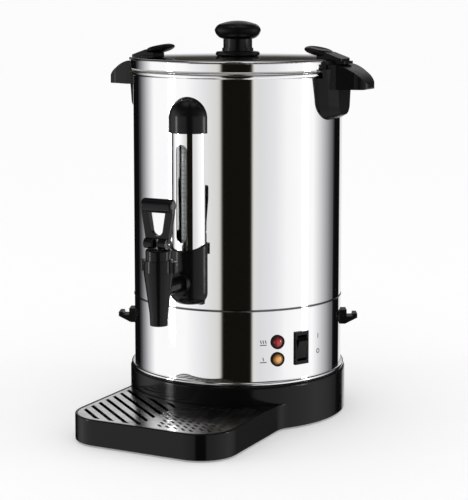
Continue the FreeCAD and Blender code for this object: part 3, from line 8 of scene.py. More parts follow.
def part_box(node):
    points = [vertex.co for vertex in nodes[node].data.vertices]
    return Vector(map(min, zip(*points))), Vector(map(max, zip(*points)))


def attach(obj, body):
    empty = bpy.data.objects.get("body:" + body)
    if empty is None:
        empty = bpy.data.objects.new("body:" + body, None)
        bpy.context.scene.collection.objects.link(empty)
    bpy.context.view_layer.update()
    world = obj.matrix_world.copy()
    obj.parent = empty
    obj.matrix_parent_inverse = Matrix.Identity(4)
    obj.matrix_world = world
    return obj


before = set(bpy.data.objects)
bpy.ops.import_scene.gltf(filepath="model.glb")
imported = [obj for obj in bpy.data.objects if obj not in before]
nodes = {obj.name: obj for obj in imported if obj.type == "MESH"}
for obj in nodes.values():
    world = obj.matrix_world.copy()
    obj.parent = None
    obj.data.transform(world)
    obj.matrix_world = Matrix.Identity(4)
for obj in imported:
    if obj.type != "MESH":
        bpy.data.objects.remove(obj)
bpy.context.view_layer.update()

bl_info = {
    "name": "Hot water urn",
    "version": (1, 0, 0),
    "blender": (4, 5, 0),
    "location": "View3D > Sidebar > Urn",
    "description": "Dresses the urn's solids with its finishes, marks and fixings, and sets its stage",
    "category": "Object",
}

MM = 0.001


# Places worked out from the frame

def middle(node):
    low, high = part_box(node)
    return (low + high) / 2


def radial(azimuth, radius, height):
    """A point at an azimuth in degrees, counted from the tap (-Y) towards +X."""
    turn = math.radians(azimuth)
    return Vector((radius * math.sin(turn), -radius * math.cos(turn), height))


def azimuth_of(point):
    return math.degrees(math.atan2(point.x, -point.y))


def outer_reach(node):
    """How far from the urn's axis the node reaches."""
    return max(Vector((corner.co.x, corner.co.y)).length for corner in nodes[node].data.vertices)


shell_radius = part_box("lower_shell")[1].x
lamp_azimuth = azimuth_of(middle("red_lens"))
switch_azimuth = azimuth_of(middle("switch_rocker"))
glass_low, glass_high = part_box("gauge_glass")
glass_radius = (glass_high.x - glass_low.x) / 2
glass_axis = middle("gauge_glass")
cover_low, cover_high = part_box("gauge_cover")


# Colours and node helpers

def linear(code):
    """An sRGB hex colour as linear red, green and blue."""
    parts = [int(code[k:k + 2], 16) / 255 for k in (0, 2, 4)]
    return tuple(p / 12.92 if p <= 0.04045 else ((p + 0.055) / 1.055) ** 2.4 for p in parts)


def rgba(colour):
    return (colour[0], colour[1], colour[2], 1.0)


def per(size_mm):
    """A texture scale, in cells per metre, from the real size of one cell in millimetres."""
    return 1000.0 / size_mm


def add(tree, kind, inputs=None, **settings):
    """A node with its settings, its values and its links: an input given as a socket is linked."""
    node = tree.nodes.new(kind)
    for name, value in settings.items():
        setattr(node, name, value)
    for key, value in (inputs or {}).items():
        if isinstance(value, bpy.types.NodeSocket):
            tree.links.new(value, node.inputs[key])
        else:
            node.inputs[key].default_value = value
    return node


def new_material(name):
    material = bpy.data.materials.new(name)
    material.use_nodes = True
    tree = material.node_tree
    tree.nodes.clear()
    place = add(tree, "ShaderNodeTexCoord").outputs["Object"]
    return material, tree, place


def finish_material(tree, shader):
    add(tree, "ShaderNodeOutputMaterial", {"Surface": shader})


def noise(tree, place, size_mm, detail=2.0, stretch=(1, 1, 1)):
    spread = add(tree, "ShaderNodeMapping", {"Vector": place, "Scale": stretch})
    return add(tree, "ShaderNodeTexNoise",
               {"Vector": spread.outputs["Vector"], "Scale": per(size_mm), "Detail": detail}).outputs["Fac"]


def ranged(tree, value, low, high):
    """A 0 to 1 pattern spread over a range."""
    spread = add(tree, "ShaderNodeMapRange", {
        "Value": value, "From Min": 0.25, "From Max": 0.75, "To Min": low, "To Max": high})
    return spread.outputs["Result"]


def blended(tree, amount, first, second):
    mix = add(tree, "ShaderNodeMix", data_type="RGBA")
    tree.links.new(amount, mix.inputs[0])
    mix.inputs[6].default_value = rgba(first)
    mix.inputs[7].default_value = rgba(second)
    return mix.outputs[2]


def shaded(colour, amount):
    """The same colour lighter or darker by a factor."""
    return tuple(min(1.0, part * amount) for part in colour)


def bump(tree, height, strength, depth_mm):
    return add(tree, "ShaderNodeBump",
               {"Height": height, "Strength": strength, "Distance": depth_mm * MM}).outputs["Normal"]


# Materials

def polished_steel(name, colour, roughness, wave_mm):
    """Stainless sheet, polished to a mirror: clear reflections that the sheet's slight waves bend."""
    material, tree, place = new_material(name)
    waves = noise(tree, place, wave_mm, 1.0)
    wiped = noise(tree, place, 14.0, 4.0, (1, 1, 0.3))
    shader = add(tree, "ShaderNodeBsdfPrincipled", {
        "Base Color": blended(tree, wiped, shaded(colour, 0.97), colour),
        "Metallic": 1.0,
        "Roughness": ranged(tree, wiped, roughness * 0.7, roughness * 1.4),
        "Normal": bump(tree, waves, 0.2, 0.025),
    })
    finish_material(tree, shader.outputs[0])
    return material


def drawn_steel(name, colour, roughness, grain_mm, stretch):
    """Stainless or aluminium left with its tool marks: a satin metal whose grain runs one way."""
    material, tree, place = new_material(name)
    grain = noise(tree, place, grain_mm, 3.0, stretch)
    shader = add(tree, "ShaderNodeBsdfPrincipled", {
        "Base Color": blended(tree, grain, shaded(colour, 0.88), colour),
        "Metallic": 1.0,
        "Roughness": ranged(tree, grain, roughness * 0.75, roughness * 1.3),
        "Normal": bump(tree, grain, 0.2, 0.02),
    })
    finish_material(tree, shader.outputs[0])
    return material


def moulded_plastic(name, colour, roughness, peel_mm, peel_depth, shine=0.2):
    """Injection-moulded thermoplastic: even colour, soft-edged highlights, a faint moulding ripple."""
    material, tree, place = new_material(name)
    ripple = noise(tree, place, peel_mm, 2.0)
    dust = noise(tree, place, 22.0, 5.0)
    shader = add(tree, "ShaderNodeBsdfPrincipled", {
        "Base Color": blended(tree, dust, shaded(colour, 0.85), shaded(colour, 1.15)),
        "Roughness": ranged(tree, dust, roughness * 0.85, roughness * 1.2),
        "IOR": 1.5,
        "Specular IOR Level": shine,
        "Normal": bump(tree, ripple, 0.3, peel_depth),
    })
    finish_material(tree, shader.outputs[0])
    return material


def soft_rubber(name, colour, roughness, clear=0.0):
    """Moulded rubber or silicone: matt, with a fine grain, and milky where it is clear."""
    material, tree, place = new_material(name)
    grain = noise(tree, place, 0.8, 3.0)
    shader = add(tree, "ShaderNodeBsdfPrincipled", {
        "Base Color": blended(tree, grain, shaded(colour, 0.9), colour),
        "Roughness": ranged(tree, grain, roughness * 0.9, roughness * 1.1),
        "IOR": 1.42,
        "Subsurface Weight": clear,
        "Subsurface Scale": 0.002,
        "Normal": bump(tree, grain, 0.25, 0.05),
    })
    finish_material(tree, shader.outputs[0])
    return material


def clear_glass(name, colour):
    """Borosilicate tube, drawn and full of water: clear but milky with scale, with faint draw lines."""
    material, tree, place = new_material(name)
    lines = noise(tree, place, 1.2, 1.0, (1, 1, 0.05))
    shader = add(tree, "ShaderNodeBsdfPrincipled", {
        "Base Color": rgba(colour),
        "Roughness": ranged(tree, lines, 0.03, 0.09),
        "IOR": 1.47,
        "Transmission Weight": 0.5,
        "Normal": bump(tree, lines, 0.1, 0.02),
    })
    finish_material(tree, shader.outputs[0])
    return material


def jewel_lens(name, deep, bright, centre, radius):
    """Tinted acrylic: a deep colour at the rim, lightened towards the middle as a painted glow, as if the lamp
    behind it were lit.
    """
    material, tree, place = new_material(name)
    away = add(tree, "ShaderNodeVectorMath", {0: place, 1: centre}, operation="DISTANCE")
    # Painted glow: the base colour goes from the deep colour at the rim to the bright one in the middle
    edge = add(tree, "ShaderNodeMapRange", {
        "Value": away.outputs["Value"], "From Min": radius * 0.25, "From Max": radius * 1.0},
        interpolation_type="SMOOTHSTEP")
    prisms = noise(tree, place, 2.4)
    shader = add(tree, "ShaderNodeBsdfPrincipled", {
        "Base Color": blended(tree, edge.outputs["Result"], bright, deep),
        "Roughness": 0.14,
        "IOR": 1.49,
        "Subsurface Weight": 0.2,
        "Subsurface Scale": 0.003,
        "Normal": bump(tree, prisms, 0.2, 0.08),
    })
    finish_material(tree, shader.outputs[0])
    return material


def heat_tinted(name, cool, hot):
    """A heater's steel sheath: oxidised by heat into patches of straw, brown and blue-grey."""
    material, tree, place = new_material(name)
    patches = noise(tree, place, 16.0, 3.0)
    shader = add(tree, "ShaderNodeBsdfPrincipled", {
        "Base Color": blended(tree, ranged(tree, patches, 0.0, 1.0), cool, hot),
        "Metallic": 1.0,
        "Roughness": ranged(tree, patches, 0.3, 0.5),
        "Normal": bump(tree, patches, 0.2, 0.05),
    })
    finish_material(tree, shader.outputs[0])
    return material


def colour_property(name, description, code):
    return bpy.props.FloatVectorProperty(
        name=name, description=description, subtype="COLOR", size=3, min=0.0, max=1.0, default=linear(code))


def length_property(name, description, metres):
    return bpy.props.FloatProperty(
        name=name, description=description, subtype="DISTANCE", unit="LENGTH", min=0.0, default=metres)


class UrnColours(bpy.types.PropertyGroup):
    steel: colour_property("Polished steel", "The tank, the shells and the lid", "EFEFF0")
    # The seam ring is the same steel as the tank, set much darker here, which draws a dark line along the joint
    seam: colour_property("Seam ring", "The rolled joint between the tank and the lower shell", "7C7C7E")
    chrome: colour_property("Bright cover", "The gauge's half tube", "F0F0F0")
    grille: colour_property("Grille steel", "The drip grille", "D9D9D6")
    fixings: colour_property("Fixings", "Screws, nuts, rivets, the stem and the spring", "B9B8B4")
    aluminium: colour_property("Cast aluminium", "The heat plate", "C4C4C2")
    base: colour_property("Base plastic", "The base housing with its tray", "0B0B0C")
    plate: colour_property("Base plate", "The sheet under the base", "2B2B2D")
    handle: colour_property("Handle plastic", "Handles, ears, knob and cord hooks", "0D0D0D")
    tap: colour_property("Tap plastic", "The tap and the gauge's blocks", "0D0D0E")
    inlet: colour_property("Inlet plastic", "The mains inlet, the switch's frame and the bezels", "0F0F0F")
    rocker: colour_property("Rocker", "The switch's rocker", "0A0A0A")
    rubber: colour_property("Feet", "The rubber feet", "1B1B1B")
    silicone: colour_property("Silicone", "Seals, gaskets and washers", "C9C9C5")
    glass: colour_property("Glass", "The gauge's tube", "C6C9C9")
    brass: colour_property("Contacts", "The inlet's pins and the switch's terminals", "C8A45A")
    phenolic: colour_property("Sensor bodies", "Thermostats, the cut-out and the terminal block", "BEB49C")
    wire: colour_property("Wire cover", "The leads under the tank", "7A2A20")
    lamp_body: colour_property("Lamp bodies", "The lamps behind the shell", "E4E2DA")
    # The lenses' middle colours are a painted glow: nothing in the lens gives off light
    red_deep: colour_property("Red lens, edge", "The boiling lamp's lens where it is deep", "6E1418")
    red_painted_glow: colour_property("Red lens, middle", "The boiling lamp's lens where it is bright", "B4383A")
    amber_deep: colour_property("Amber lens, edge", "The warming lamp's lens where it is deep", "9A5C1E")
    amber_painted_glow: colour_property("Amber lens, middle", "The warming lamp's lens where it is bright", "F6BE72")
    ink: colour_property("Printed marks", "The marks beside the lamps, the switch and on the glass", "4A4A4C")
    floor: colour_property("Floor", "The stage's floor", "F4F4F4")


class UrnSizes(bpy.types.PropertyGroup):
    mark_thickness: length_property("Mark thickness", "How far a printed mark stands out", 0.06 * MM)
    mark_line: length_property("Mark line", "Width of a printed line", 0.9 * MM)
    mark_height: length_property("Mark height", "Height of the marks on the shell", 5.0 * MM)
    level_pitch: length_property("Level pitch", "From one level mark to the next", 4.4 * MM)
    recess_arm: length_property("Recess arm", "Across a screw's cross recess", 2.2 * MM)
    recess_width: length_property("Recess width", "Width of a cross recess's slot", 0.6 * MM)
    level_line: length_property("Level line", "Height of a level mark's line", 0.5 * MM)


def colours():
    return bpy.context.scene.urn_colours


def sizes():
    return bpy.context.scene.urn_sizes


def dress(material, *names):
    """Gives CAD nodes their material."""
    for name in names:
        mesh = nodes[name].data
        mesh.materials.clear()
        mesh.materials.append(material)


# Meshes

def piece_from(name, mesh, material, body):
    """A finished piece: its mesh is already in place, and it rides on a body."""
    piece = bpy.data.objects.new(name, mesh)
    bpy.context.scene.collection.objects.link(piece)
    mesh.materials.clear()
    mesh.materials.append(material)
    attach(piece, body)
    return piece


def mesh_from(name, build):
    """A mesh that build fills in, with its doubles merged and its faces turned outwards."""
    shape = bmesh.new()
    build(shape)
    bmesh.ops.remove_doubles(shape, verts=shape.verts, dist=1e-7)
    bmesh.ops.recalc_face_normals(shape, faces=shape.faces)
    mesh = bpy.data.meshes.new(name)
    shape.to_mesh(mesh)
    shape.free()
    return mesh


def ribbon_on_shell(shape, path, width, thickness, radius):
    """A flat printed stroke on a round wall: path points are (arc length, height)."""
    rows = []
    for k, (s, z) in enumerate(path):
        before = path[max(k - 1, 0)]
        after = path[min(k + 1, len(path) - 1)]
        run = Vector((after[0] - before[0], after[1] - before[1]))
        side = Vector((-run.y, run.x)).normalized() * width / 2
        corners = []
        for sign in (-1, 1):
            for lift in (0.0, thickness):
                arc, height = s + sign * side.x, z + sign * side.y
                azimuth = math.degrees(arc / radius)
                corners.append(shape.verts.new(radial(azimuth, radius + lift, height)))
        rows.append(corners)
    for first, second in zip(rows, rows[1:]):
        for a, b in ((0, 1), (1, 3), (3, 2), (2, 0)):
            shape.faces.new((first[a], first[b], second[b], second[a]))
    for end in (rows[0], rows[-1]):
        shape.faces.new((end[0], end[1], end[3], end[2]))


def ring_path(centre, radius, steps):
    return [(centre[0] + radius * math.cos(2 * math.pi * k / steps),
             centre[1] + radius * math.sin(2 * math.pi * k / steps)) for k in range(steps + 1)]


# Geometry node trees

def new_tree(name, wanted):
    """A geometry node tree with named inputs, given as (name, socket type, value)."""
    tree = bpy.data.node_groups.new(name, "GeometryNodeTree")
    tree.interface.new_socket("Geometry", in_out="INPUT", socket_type="NodeSocketGeometry")
    tree.interface.new_socket("Geometry", in_out="OUTPUT", socket_type="NodeSocketGeometry")
    for label, kind, _value in wanted:
        tree.interface.new_socket(label, in_out="INPUT", socket_type=kind)
    source = add(tree, "NodeGroupInput")
    return tree, source


def applied(name, tree, values, start=None):
    """Runs a tree on an object and returns the plain mesh that it makes."""
    holder = bpy.data.objects.new(name + "_holder", start or bpy.data.meshes.new(name + "_start"))
    bpy.context.scene.collection.objects.link(holder)
    modifier = holder.modifiers.new(name, "NODES")
    modifier.node_group = tree
    for item in tree.interface.items_tree:
        if item.in_out == "INPUT" and item.name in values:
            modifier[item.identifier] = values[item.name]
    bpy.context.view_layer.update()
    depsgraph = bpy.context.evaluated_depsgraph_get()
    mesh = bpy.data.meshes.new_from_object(holder.evaluated_get(depsgraph))
    mesh.name = name
    holder.modifiers.clear()
    bpy.data.objects.remove(holder)
    return mesh


def level_scale_tree():
    """A ladder of lines on the gauge's glass: each fifth line is longer."""
    tree, source = new_tree("Level scale", [
        ("Count", "NodeSocketInt", 0),
        ("Pitch", "NodeSocketFloat", 0.0),
        ("Line", "NodeSocketObject", None),
        ("Long line", "NodeSocketObject", None),
        ("Foot", "NodeSocketVector", None),
        ("Material", "NodeSocketMaterial", None),
    ])
    step = add(tree, "ShaderNodeCombineXYZ", {"Z": source.outputs["Pitch"]})
    ladder = add(tree, "GeometryNodeMeshLine", {
        "Count": source.outputs["Count"],
        "Start Location": source.outputs["Foot"],
        "Offset": step.outputs[0],
    })
    index = add(tree, "GeometryNodeInputIndex")
    fifth = add(tree, "ShaderNodeMath", {0: index.outputs[0], 1: 5.0}, operation="MODULO")
    is_fifth = add(tree, "FunctionNodeCompare", {"A": fifth.outputs[0], "B": 0.0},
                   data_type="FLOAT", operation="EQUAL")
    is_plain = add(tree, "FunctionNodeBooleanMath", {0: is_fifth.outputs[0]}, operation="NOT")
    groups = []
    for label, chosen in (("Line", is_plain), ("Long line", is_fifth)):
        shape = add(tree, "GeometryNodeObjectInfo", {"Object": source.outputs[label]})
        groups.append(add(tree, "GeometryNodeInstanceOnPoints", {
            "Points": ladder.outputs["Mesh"],
            "Selection": chosen.outputs[0],
            "Instance": shape.outputs["Geometry"],
        }))
    joined = add(tree, "GeometryNodeJoinGeometry")
    for group in groups:
        tree.links.new(group.outputs[0], joined.inputs[0])
    solid = add(tree, "GeometryNodeRealizeInstances", {"Geometry": joined.outputs[0]})
    painted = add(tree, "GeometryNodeSetMaterial",
                  {"Geometry": solid.outputs[0], "Material": source.outputs["Material"]})
    add(tree, "NodeGroupOutput", {0: painted.outputs[0]})
    return tree


def recess_tree():
    """One dark cross of painted shade, for a cross recess, on every screw's face."""
    tree, source = new_tree("Screw recesses", [
        ("Recess", "NodeSocketObject", None),
        ("Material", "NodeSocketMaterial", None),
    ])
    shape = add(tree, "GeometryNodeObjectInfo", {"Object": source.outputs["Recess"]})
    spread = add(tree, "GeometryNodeInstanceOnPoints", {
        "Points": source.outputs["Geometry"],
        "Instance": shape.outputs["Geometry"],
    })
    solid = add(tree, "GeometryNodeRealizeInstances", {"Geometry": spread.outputs[0]})
    painted = add(tree, "GeometryNodeSetMaterial",
                  {"Geometry": solid.outputs[0], "Material": source.outputs["Material"]})
    add(tree, "NodeGroupOutput", {0: painted.outputs[0]})
    return tree


def screw_faces(node, outward):
    """The middle of each screw's outer face, from the separate solids of the node."""
    shape = bmesh.new()
    shape.from_mesh(nodes[node].data)
    bmesh.ops.remove_doubles(shape, verts=shape.verts, dist=1e-6)
    left = set(shape.verts)
    faces = []
    while left:
        group = [left.pop()]
        for corner in group:
            for edge in corner.link_edges:
                other = edge.other_vert(corner)
                if other in left:
                    left.remove(other)
                    group.append(other)
        low = Vector([min(corner.co[k] for corner in group) for k in range(3)])
        high = Vector([max(corner.co[k] for corner in group) for k in range(3)])
        reach = max(corner.co.dot(outward) for corner in group)
        centre = (low + high) / 2
        faces.append(centre + outward * (reach - centre.dot(outward)))
    shape.free()
    return faces


def cross_recess(shape, outward, arm, width):
    """A thin dark cross that lies on a screw's face: painted shade for the cross recess, which is not cut."""
    along = Vector((0, 0, 1)) if abs(outward.z) < 0.5 else Vector((0, 1, 0))
    across = outward.cross(along)
    half, thin = arm / 2, width / 2
    outline = [(thin, half), (-thin, half), (-thin, thin), (-half, thin), (-half, -thin), (-thin, -thin),
               (-thin, -half), (thin, -half), (thin, -thin), (half, -thin), (half, thin), (thin, thin)]
    rows = [[shape.verts.new(across * u + along * v + outward * lift) for u, v in outline]
            for lift in (-0.02 * MM, 0.03 * MM)]
    for row in rows:
        shape.faces.new(row)
    for k in range(len(outline)):
        after = (k + 1) % len(outline)
        shape.faces.new((rows[0][k], rows[0][after], rows[1][after], rows[1][k]))


class URN_OT_steel(bpy.types.Operator):
    """Finish the tank, the shells, the lid and their rings"""
    bl_idname = "urn.steel"
    bl_label = "Polished steel"

    def execute(self, context):
        tint = colours()
        dress(polished_steel("polished_stainless_wall", tint.steel, 0.035, 60.0), "tank", "lower_shell")
        dress(polished_steel("polished_stainless_lid", tint.steel, 0.05, 45.0), "lid")
        dress(polished_steel("polished_stainless_rings", tint.steel, 0.07, 20.0),
              "tank_rim", "bottom_trim_ring")
        # Same steel as the tank, set much darker: a dark line along the joint
        dress(polished_steel("darkened_stainless_seam", tint.seam, 0.12, 20.0), "seam_ring")
        dress(polished_steel("polished_stainless_grille", tint.grille, 0.16, 8.0), "drip_grille")
        return {"FINISHED"}


class URN_OT_base(bpy.types.Operator):
    """Finish the base housing, its plate and its feet"""
    bl_idname = "urn.base"
    bl_label = "Base"

    def execute(self, context):
        tint = colours()
        dress(moulded_plastic("gloss_abs_base", tint.base, 0.14, 9.0, 0.02), "base_housing")
        dress(moulded_plastic("powder_coated_plate", tint.plate, 0.5, 0.7, 0.06), "base_plate")
        dress(soft_rubber("moulded_rubber_feet", tint.rubber, 0.75), "rubber_feet")
        return {"FINISHED"}


class URN_OT_gauge(bpy.types.Operator):
    """Finish the level gauge and print the scale on its glass"""
    bl_idname = "urn.gauge"
    bl_label = "Level gauge"

    def execute(self, context):
        tint = colours()
        size = sizes()
        dress(polished_steel("bright_gauge_cover", tint.chrome, 0.04, 25.0), "gauge_cover")
        dress(moulded_plastic("gloss_gauge_blocks", tint.tap, 0.2, 7.0, 0.02),
              "gauge_lower_block", "gauge_top_cap")
        dress(clear_glass("borosilicate_gauge_glass", tint.glass), "gauge_glass")
        dress(soft_rubber("milky_silicone", tint.silicone, 0.5, 0.3),
              "gauge_seals", "tap_gasket", "tap_seat_cup", "lid_seal", "handle_washers")
        ink = moulded_plastic("printed_ink", tint.ink, 0.5, 1.0, 0.01)
        lines = []
        for name, half_angle in (("level_line", 28.0), ("level_long_line", 50.0)):
            mesh = mesh_from(name, lambda shape: level_line(shape, half_angle, size))
            line = bpy.data.objects.new(name, mesh)
            lines.append(line)
        room = cover_high.z - cover_low.z - 30 * MM
        count = int(room / size.level_pitch)
        foot_height = (cover_low.z + cover_high.z) / 2 - count * size.level_pitch / 2
        foot = Vector((glass_axis.x, glass_axis.y, foot_height))
        mesh = applied("level_scale", level_scale_tree(), {
            "Count": count,
            "Pitch": size.level_pitch,
            "Line": lines[0],
            "Long line": lines[1],
            "Foot": foot,
            "Material": ink,
        })
        piece_from("level_scale", mesh, ink, "urn")
        for line in lines:
            bpy.data.objects.remove(line)
        return {"FINISHED"}


def level_line(shape, half_angle, size):
    """A short printed line round the front of the glass."""
    steps = 10
    rows = []
    for k in range(steps + 1):
        azimuth = half_angle * (2 * k / steps - 1)
        corners = []
        for lift in (0.01 * MM, size.mark_thickness):
            for side in (-0.5, 0.5):
                corners.append(shape.verts.new(radial(azimuth, glass_radius + lift, side * size.level_line)))
        rows.append(corners)
    for first, second in zip(rows, rows[1:]):
        for a, b in ((0, 1), (1, 3), (3, 2), (2, 0)):
            shape.faces.new((first[a], first[b], second[b], second[a]))
    for end in (rows[0], rows[-1]):
        shape.faces.new((end[0], end[1], end[3], end[2]))


class URN_OT_tap(bpy.types.Operator):
    """Finish the tap's body, bonnet and lock ring, and its lever"""
    bl_idname = "urn.tap"
    bl_label = "Tap"

    def execute(self, context):
        tint = colours()
        dress(moulded_plastic("gloss_tap_plastic", tint.tap, 0.16, 6.0, 0.02),
              "tap_body", "tap_bonnet", "tap_lever", "tap_lock_ring")
        return {"FINISHED"}


class URN_OT_handles(bpy.types.Operator):
    """Finish the handles, the lid's ears and knob, and the cord hooks"""
    bl_idname = "urn.handles"
    bl_label = "Handles and knob"

    def execute(self, context):
        tint = colours()
        dress(moulded_plastic("satin_handle_plastic", tint.handle, 0.3, 3.0, 0.02, 0.14),
              "handle_right", "handle_left", "lid_ear_right", "lid_ear_left", "cord_hooks")
        dress(moulded_plastic("satin_knob_plastic", tint.handle, 0.26, 3.0, 0.015), "lid_knob")
        return {"FINISHED"}


class URN_OT_controls(bpy.types.Operator):
    """Finish the lamps and the switch, and print the marks beside them"""
    bl_idname = "urn.controls"
    bl_label = "Lamps and switch"

    def execute(self, context):
        tint = colours()
        for lens, deep, bright in (("red_lens", tint.red_deep, tint.red_painted_glow),
                                   ("amber_lens", tint.amber_deep, tint.amber_painted_glow)):
            low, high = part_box(lens)
            centre = radial(lamp_azimuth, outer_reach(lens), middle(lens).z)
            # Each lens gets a painted glow towards its middle
            dress(jewel_lens("acrylic_" + lens, deep, bright, centre, (high.z - low.z) / 2), lens)
        dress(moulded_plastic("lamp_body_nylon", tint.lamp_body, 0.4, 4.0, 0.02), "lamp_bodies")
        dress(moulded_plastic("matt_inlet_plastic", tint.inlet, 0.38, 1.5, 0.02, 0.14),
              "power_inlet", "switch_frame", "lamp_bezels")
        dress(moulded_plastic("gloss_rocker_nylon", tint.rocker, 0.14, 5.0, 0.02, 0.14), "switch_rocker")
        ink = moulded_plastic("printed_shell_ink", tint.ink, 0.45, 1.0, 0.01)
        for name, strokes in shell_marks().items():
            mesh = mesh_from(name, lambda shape: print_strokes(shape, strokes))
            piece_from(name, mesh, ink, "urn")
        return {"FINISHED"}


def print_strokes(shape, strokes):
    size = sizes()
    for stroke in strokes:
        ribbon_on_shell(shape, stroke, size.mark_line, size.mark_thickness, shell_radius)


def shell_marks():
    """Plain signs: a bar and a ring for on and off, steam for boiling, a level wave for keeping warm."""
    size = sizes()
    half = size.mark_height / 2
    rocker_low, rocker_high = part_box("switch_rocker")
    beside = math.radians(switch_azimuth) * shell_radius + 24 * MM
    on_height = rocker_high.z - 4 * MM
    off_height = rocker_low.z + 6 * MM
    lamp_arc = math.radians(lamp_azimuth) * shell_radius - 15 * MM
    marks = {
        "mark_on": [[(beside, on_height - half), (beside, on_height + half)]],
        "mark_off": [ring_path((beside, off_height), half * 0.8, 24)],
    }
    boil = middle("red_lens").z
    warm = middle("amber_lens").z
    bar = [(lamp_arc - half * 1.4, -half), (lamp_arc + half * 1.4, -half)]
    marks["mark_boil"] = [[(s, boil + z) for s, z in bar]] + [
        wave(lamp_arc + shift * half, boil - half * 0.4, boil + half) for shift in (-1, 0, 1)]
    marks["mark_warm"] = [[(s, warm + z) for s, z in bar]] + [
        wave(lamp_arc, warm - half * 0.4, warm + half)]
    return marks


def wave(arc, low, high):
    """One wavy upright stroke."""
    steps = 12
    sway = (high - low) / 9
    return [(arc + sway * math.sin(2 * math.pi * k / steps), low + (high - low) * k / steps)
            for k in range(steps + 1)]


class URN_OT_inside(bpy.types.Operator):
    """Finish the heaters, the thermostats, the wiring and the fixings"""
    bl_idname = "urn.inside"
    bl_label = "Inner parts and fixings"

    def execute(self, context):
        tint = colours()
        dress(drawn_steel("turned_stainless_fixings", tint.fixings, 0.28, 1.2, (1, 1, 6)),
              "base_screws", "tie_rods", "tie_nuts", "inlet_screws", "gauge_cap_screw", "handle_screws",
              "knob_screw", "knob_washer", "ear_rivets", "tap_lever_pin", "tap_stem", "tap_spring",
              "tap_inner_nut")
        dress(drawn_steel("cast_aluminium_plate", tint.aluminium, 0.45, 2.5, (1, 1, 1)), "heat_plate")
        dress(heat_tinted("heat_tinted_sheath", linear("6E655C"), linear("4A4650")),
              "boiling_element", "warming_element")
        dress(moulded_plastic("phenolic_sensor_bodies", tint.phenolic, 0.5, 1.2, 0.04),
              "boil_thermostat", "warm_thermostat", "thermal_cutout", "terminal_block")
        dress(soft_rubber("silicone_wire_cover", tint.wire, 0.5), "wiring")
        dress(drawn_steel("stamped_brass", tint.brass, 0.25, 1.0, (1, 1, 4)), "inlet_pins", "switch_terminals")
        return {"FINISHED"}


class URN_OT_recesses(bpy.types.Operator):
    """Lay a dark cross of painted shade, for the cross recess, on the screws under the base and beside the
    inlet
    """
    bl_idname = "urn.recesses"
    bl_label = "Screw recesses"

    def execute(self, context):
        # Painted shade: a dark cross where each screw's cross recess would be
        dark = moulded_plastic("recess_shadow", linear("0C0C0C"), 0.6, 1.0, 0.01, 0.1)
        tree = recess_tree()
        for node, outward in (("inlet_screws", Vector((0, 1, 0))), ("base_screws", Vector((0, 0, -1)))):
            start = bpy.data.meshes.new(node + "_faces")
            start.from_pydata([tuple(face) for face in screw_faces(node, outward)], [], [])
            cross = mesh_from(node + "_cross", lambda shape: cross_recess(
                shape, outward, sizes().recess_arm, sizes().recess_width))
            recess = bpy.data.objects.new(node + "_cross", cross)
            mesh = applied(node + "_recesses", tree, {"Recess": recess, "Material": dark}, start)
            piece_from(node + "_recesses", mesh, dark, "urn")
            bpy.data.objects.remove(recess)
        return {"FINISHED"}


class URN_OT_stage(bpy.types.Operator):
    """Set the floor, the studio light and the camera"""
    bl_idname = "urn.stage"
    bl_label = "Stage"

    def execute(self, context):
        make_floor()
        make_studio()
        make_softboxes()
        make_camera()
        context.scene.view_settings.view_transform = "Standard"
        return {"FINISHED"}


# The camera stands where the photograph's did: it looks at the urn from the front right, a little from above
camera_azimuth = 26.96
camera_distance = 1.6222
camera_height = 0.43494
camera_turn = 27.10
camera_pitch = 6.583
camera_lens = 110.885
camera_shift = -0.15


def make_camera():
    data = bpy.data.cameras.new("camera")
    data.lens = camera_lens
    data.sensor_width = 36.0
    data.shift_y = camera_shift
    data.clip_start = 0.01
    camera = bpy.data.objects.new("camera", data)
    camera.location = radial(camera_azimuth, camera_distance, camera_height)
    camera.rotation_euler = (math.radians(90 - camera_pitch), 0, math.radians(camera_turn))
    bpy.context.scene.collection.objects.link(camera)
    bpy.context.scene.camera = camera


floor_half = 6.0
# A little glow that only the camera sees, so that the pale floor meets the backdrop and keeps its shadow
floor_lift = 0.25


def make_floor():
    mesh = mesh_from("floor", lambda shape: bmesh.ops.create_grid(
        shape, x_segments=1, y_segments=1, size=floor_half))
    floor = bpy.data.objects.new("floor", mesh)
    bpy.context.scene.collection.objects.link(floor)
    material, tree, place = new_material("pale_floor")
    speckle = noise(tree, place, 300.0)
    paint = add(tree, "ShaderNodeBsdfDiffuse",
                {"Color": blended(tree, speckle, shaded(colours().floor, 0.995), colours().floor)})
    glow = add(tree, "ShaderNodeEmission", {"Color": (1, 1, 1, 1), "Strength": floor_lift})
    light_path = add(tree, "ShaderNodeLightPath")
    lifted = add(tree, "ShaderNodeAddShader")
    tree.links.new(paint.outputs[0], lifted.inputs[0])
    tree.links.new(glow.outputs[0], lifted.inputs[1])
    seen = add(tree, "ShaderNodeMixShader", {0: light_path.outputs["Is Camera Ray"]})
    tree.links.new(paint.outputs[0], seen.inputs[1])
    tree.links.new(lifted.outputs[0], seen.inputs[2])
    clear = add(tree, "ShaderNodeBsdfTransparent")
    mirrored = add(tree, "ShaderNodeMixShader", {0: light_path.outputs["Is Glossy Ray"]})
    tree.links.new(seen.outputs[0], mirrored.inputs[1])
    tree.links.new(clear.outputs[0], mirrored.inputs[2])
    finish_material(tree, mirrored.outputs[0])
    mesh.materials.append(material)


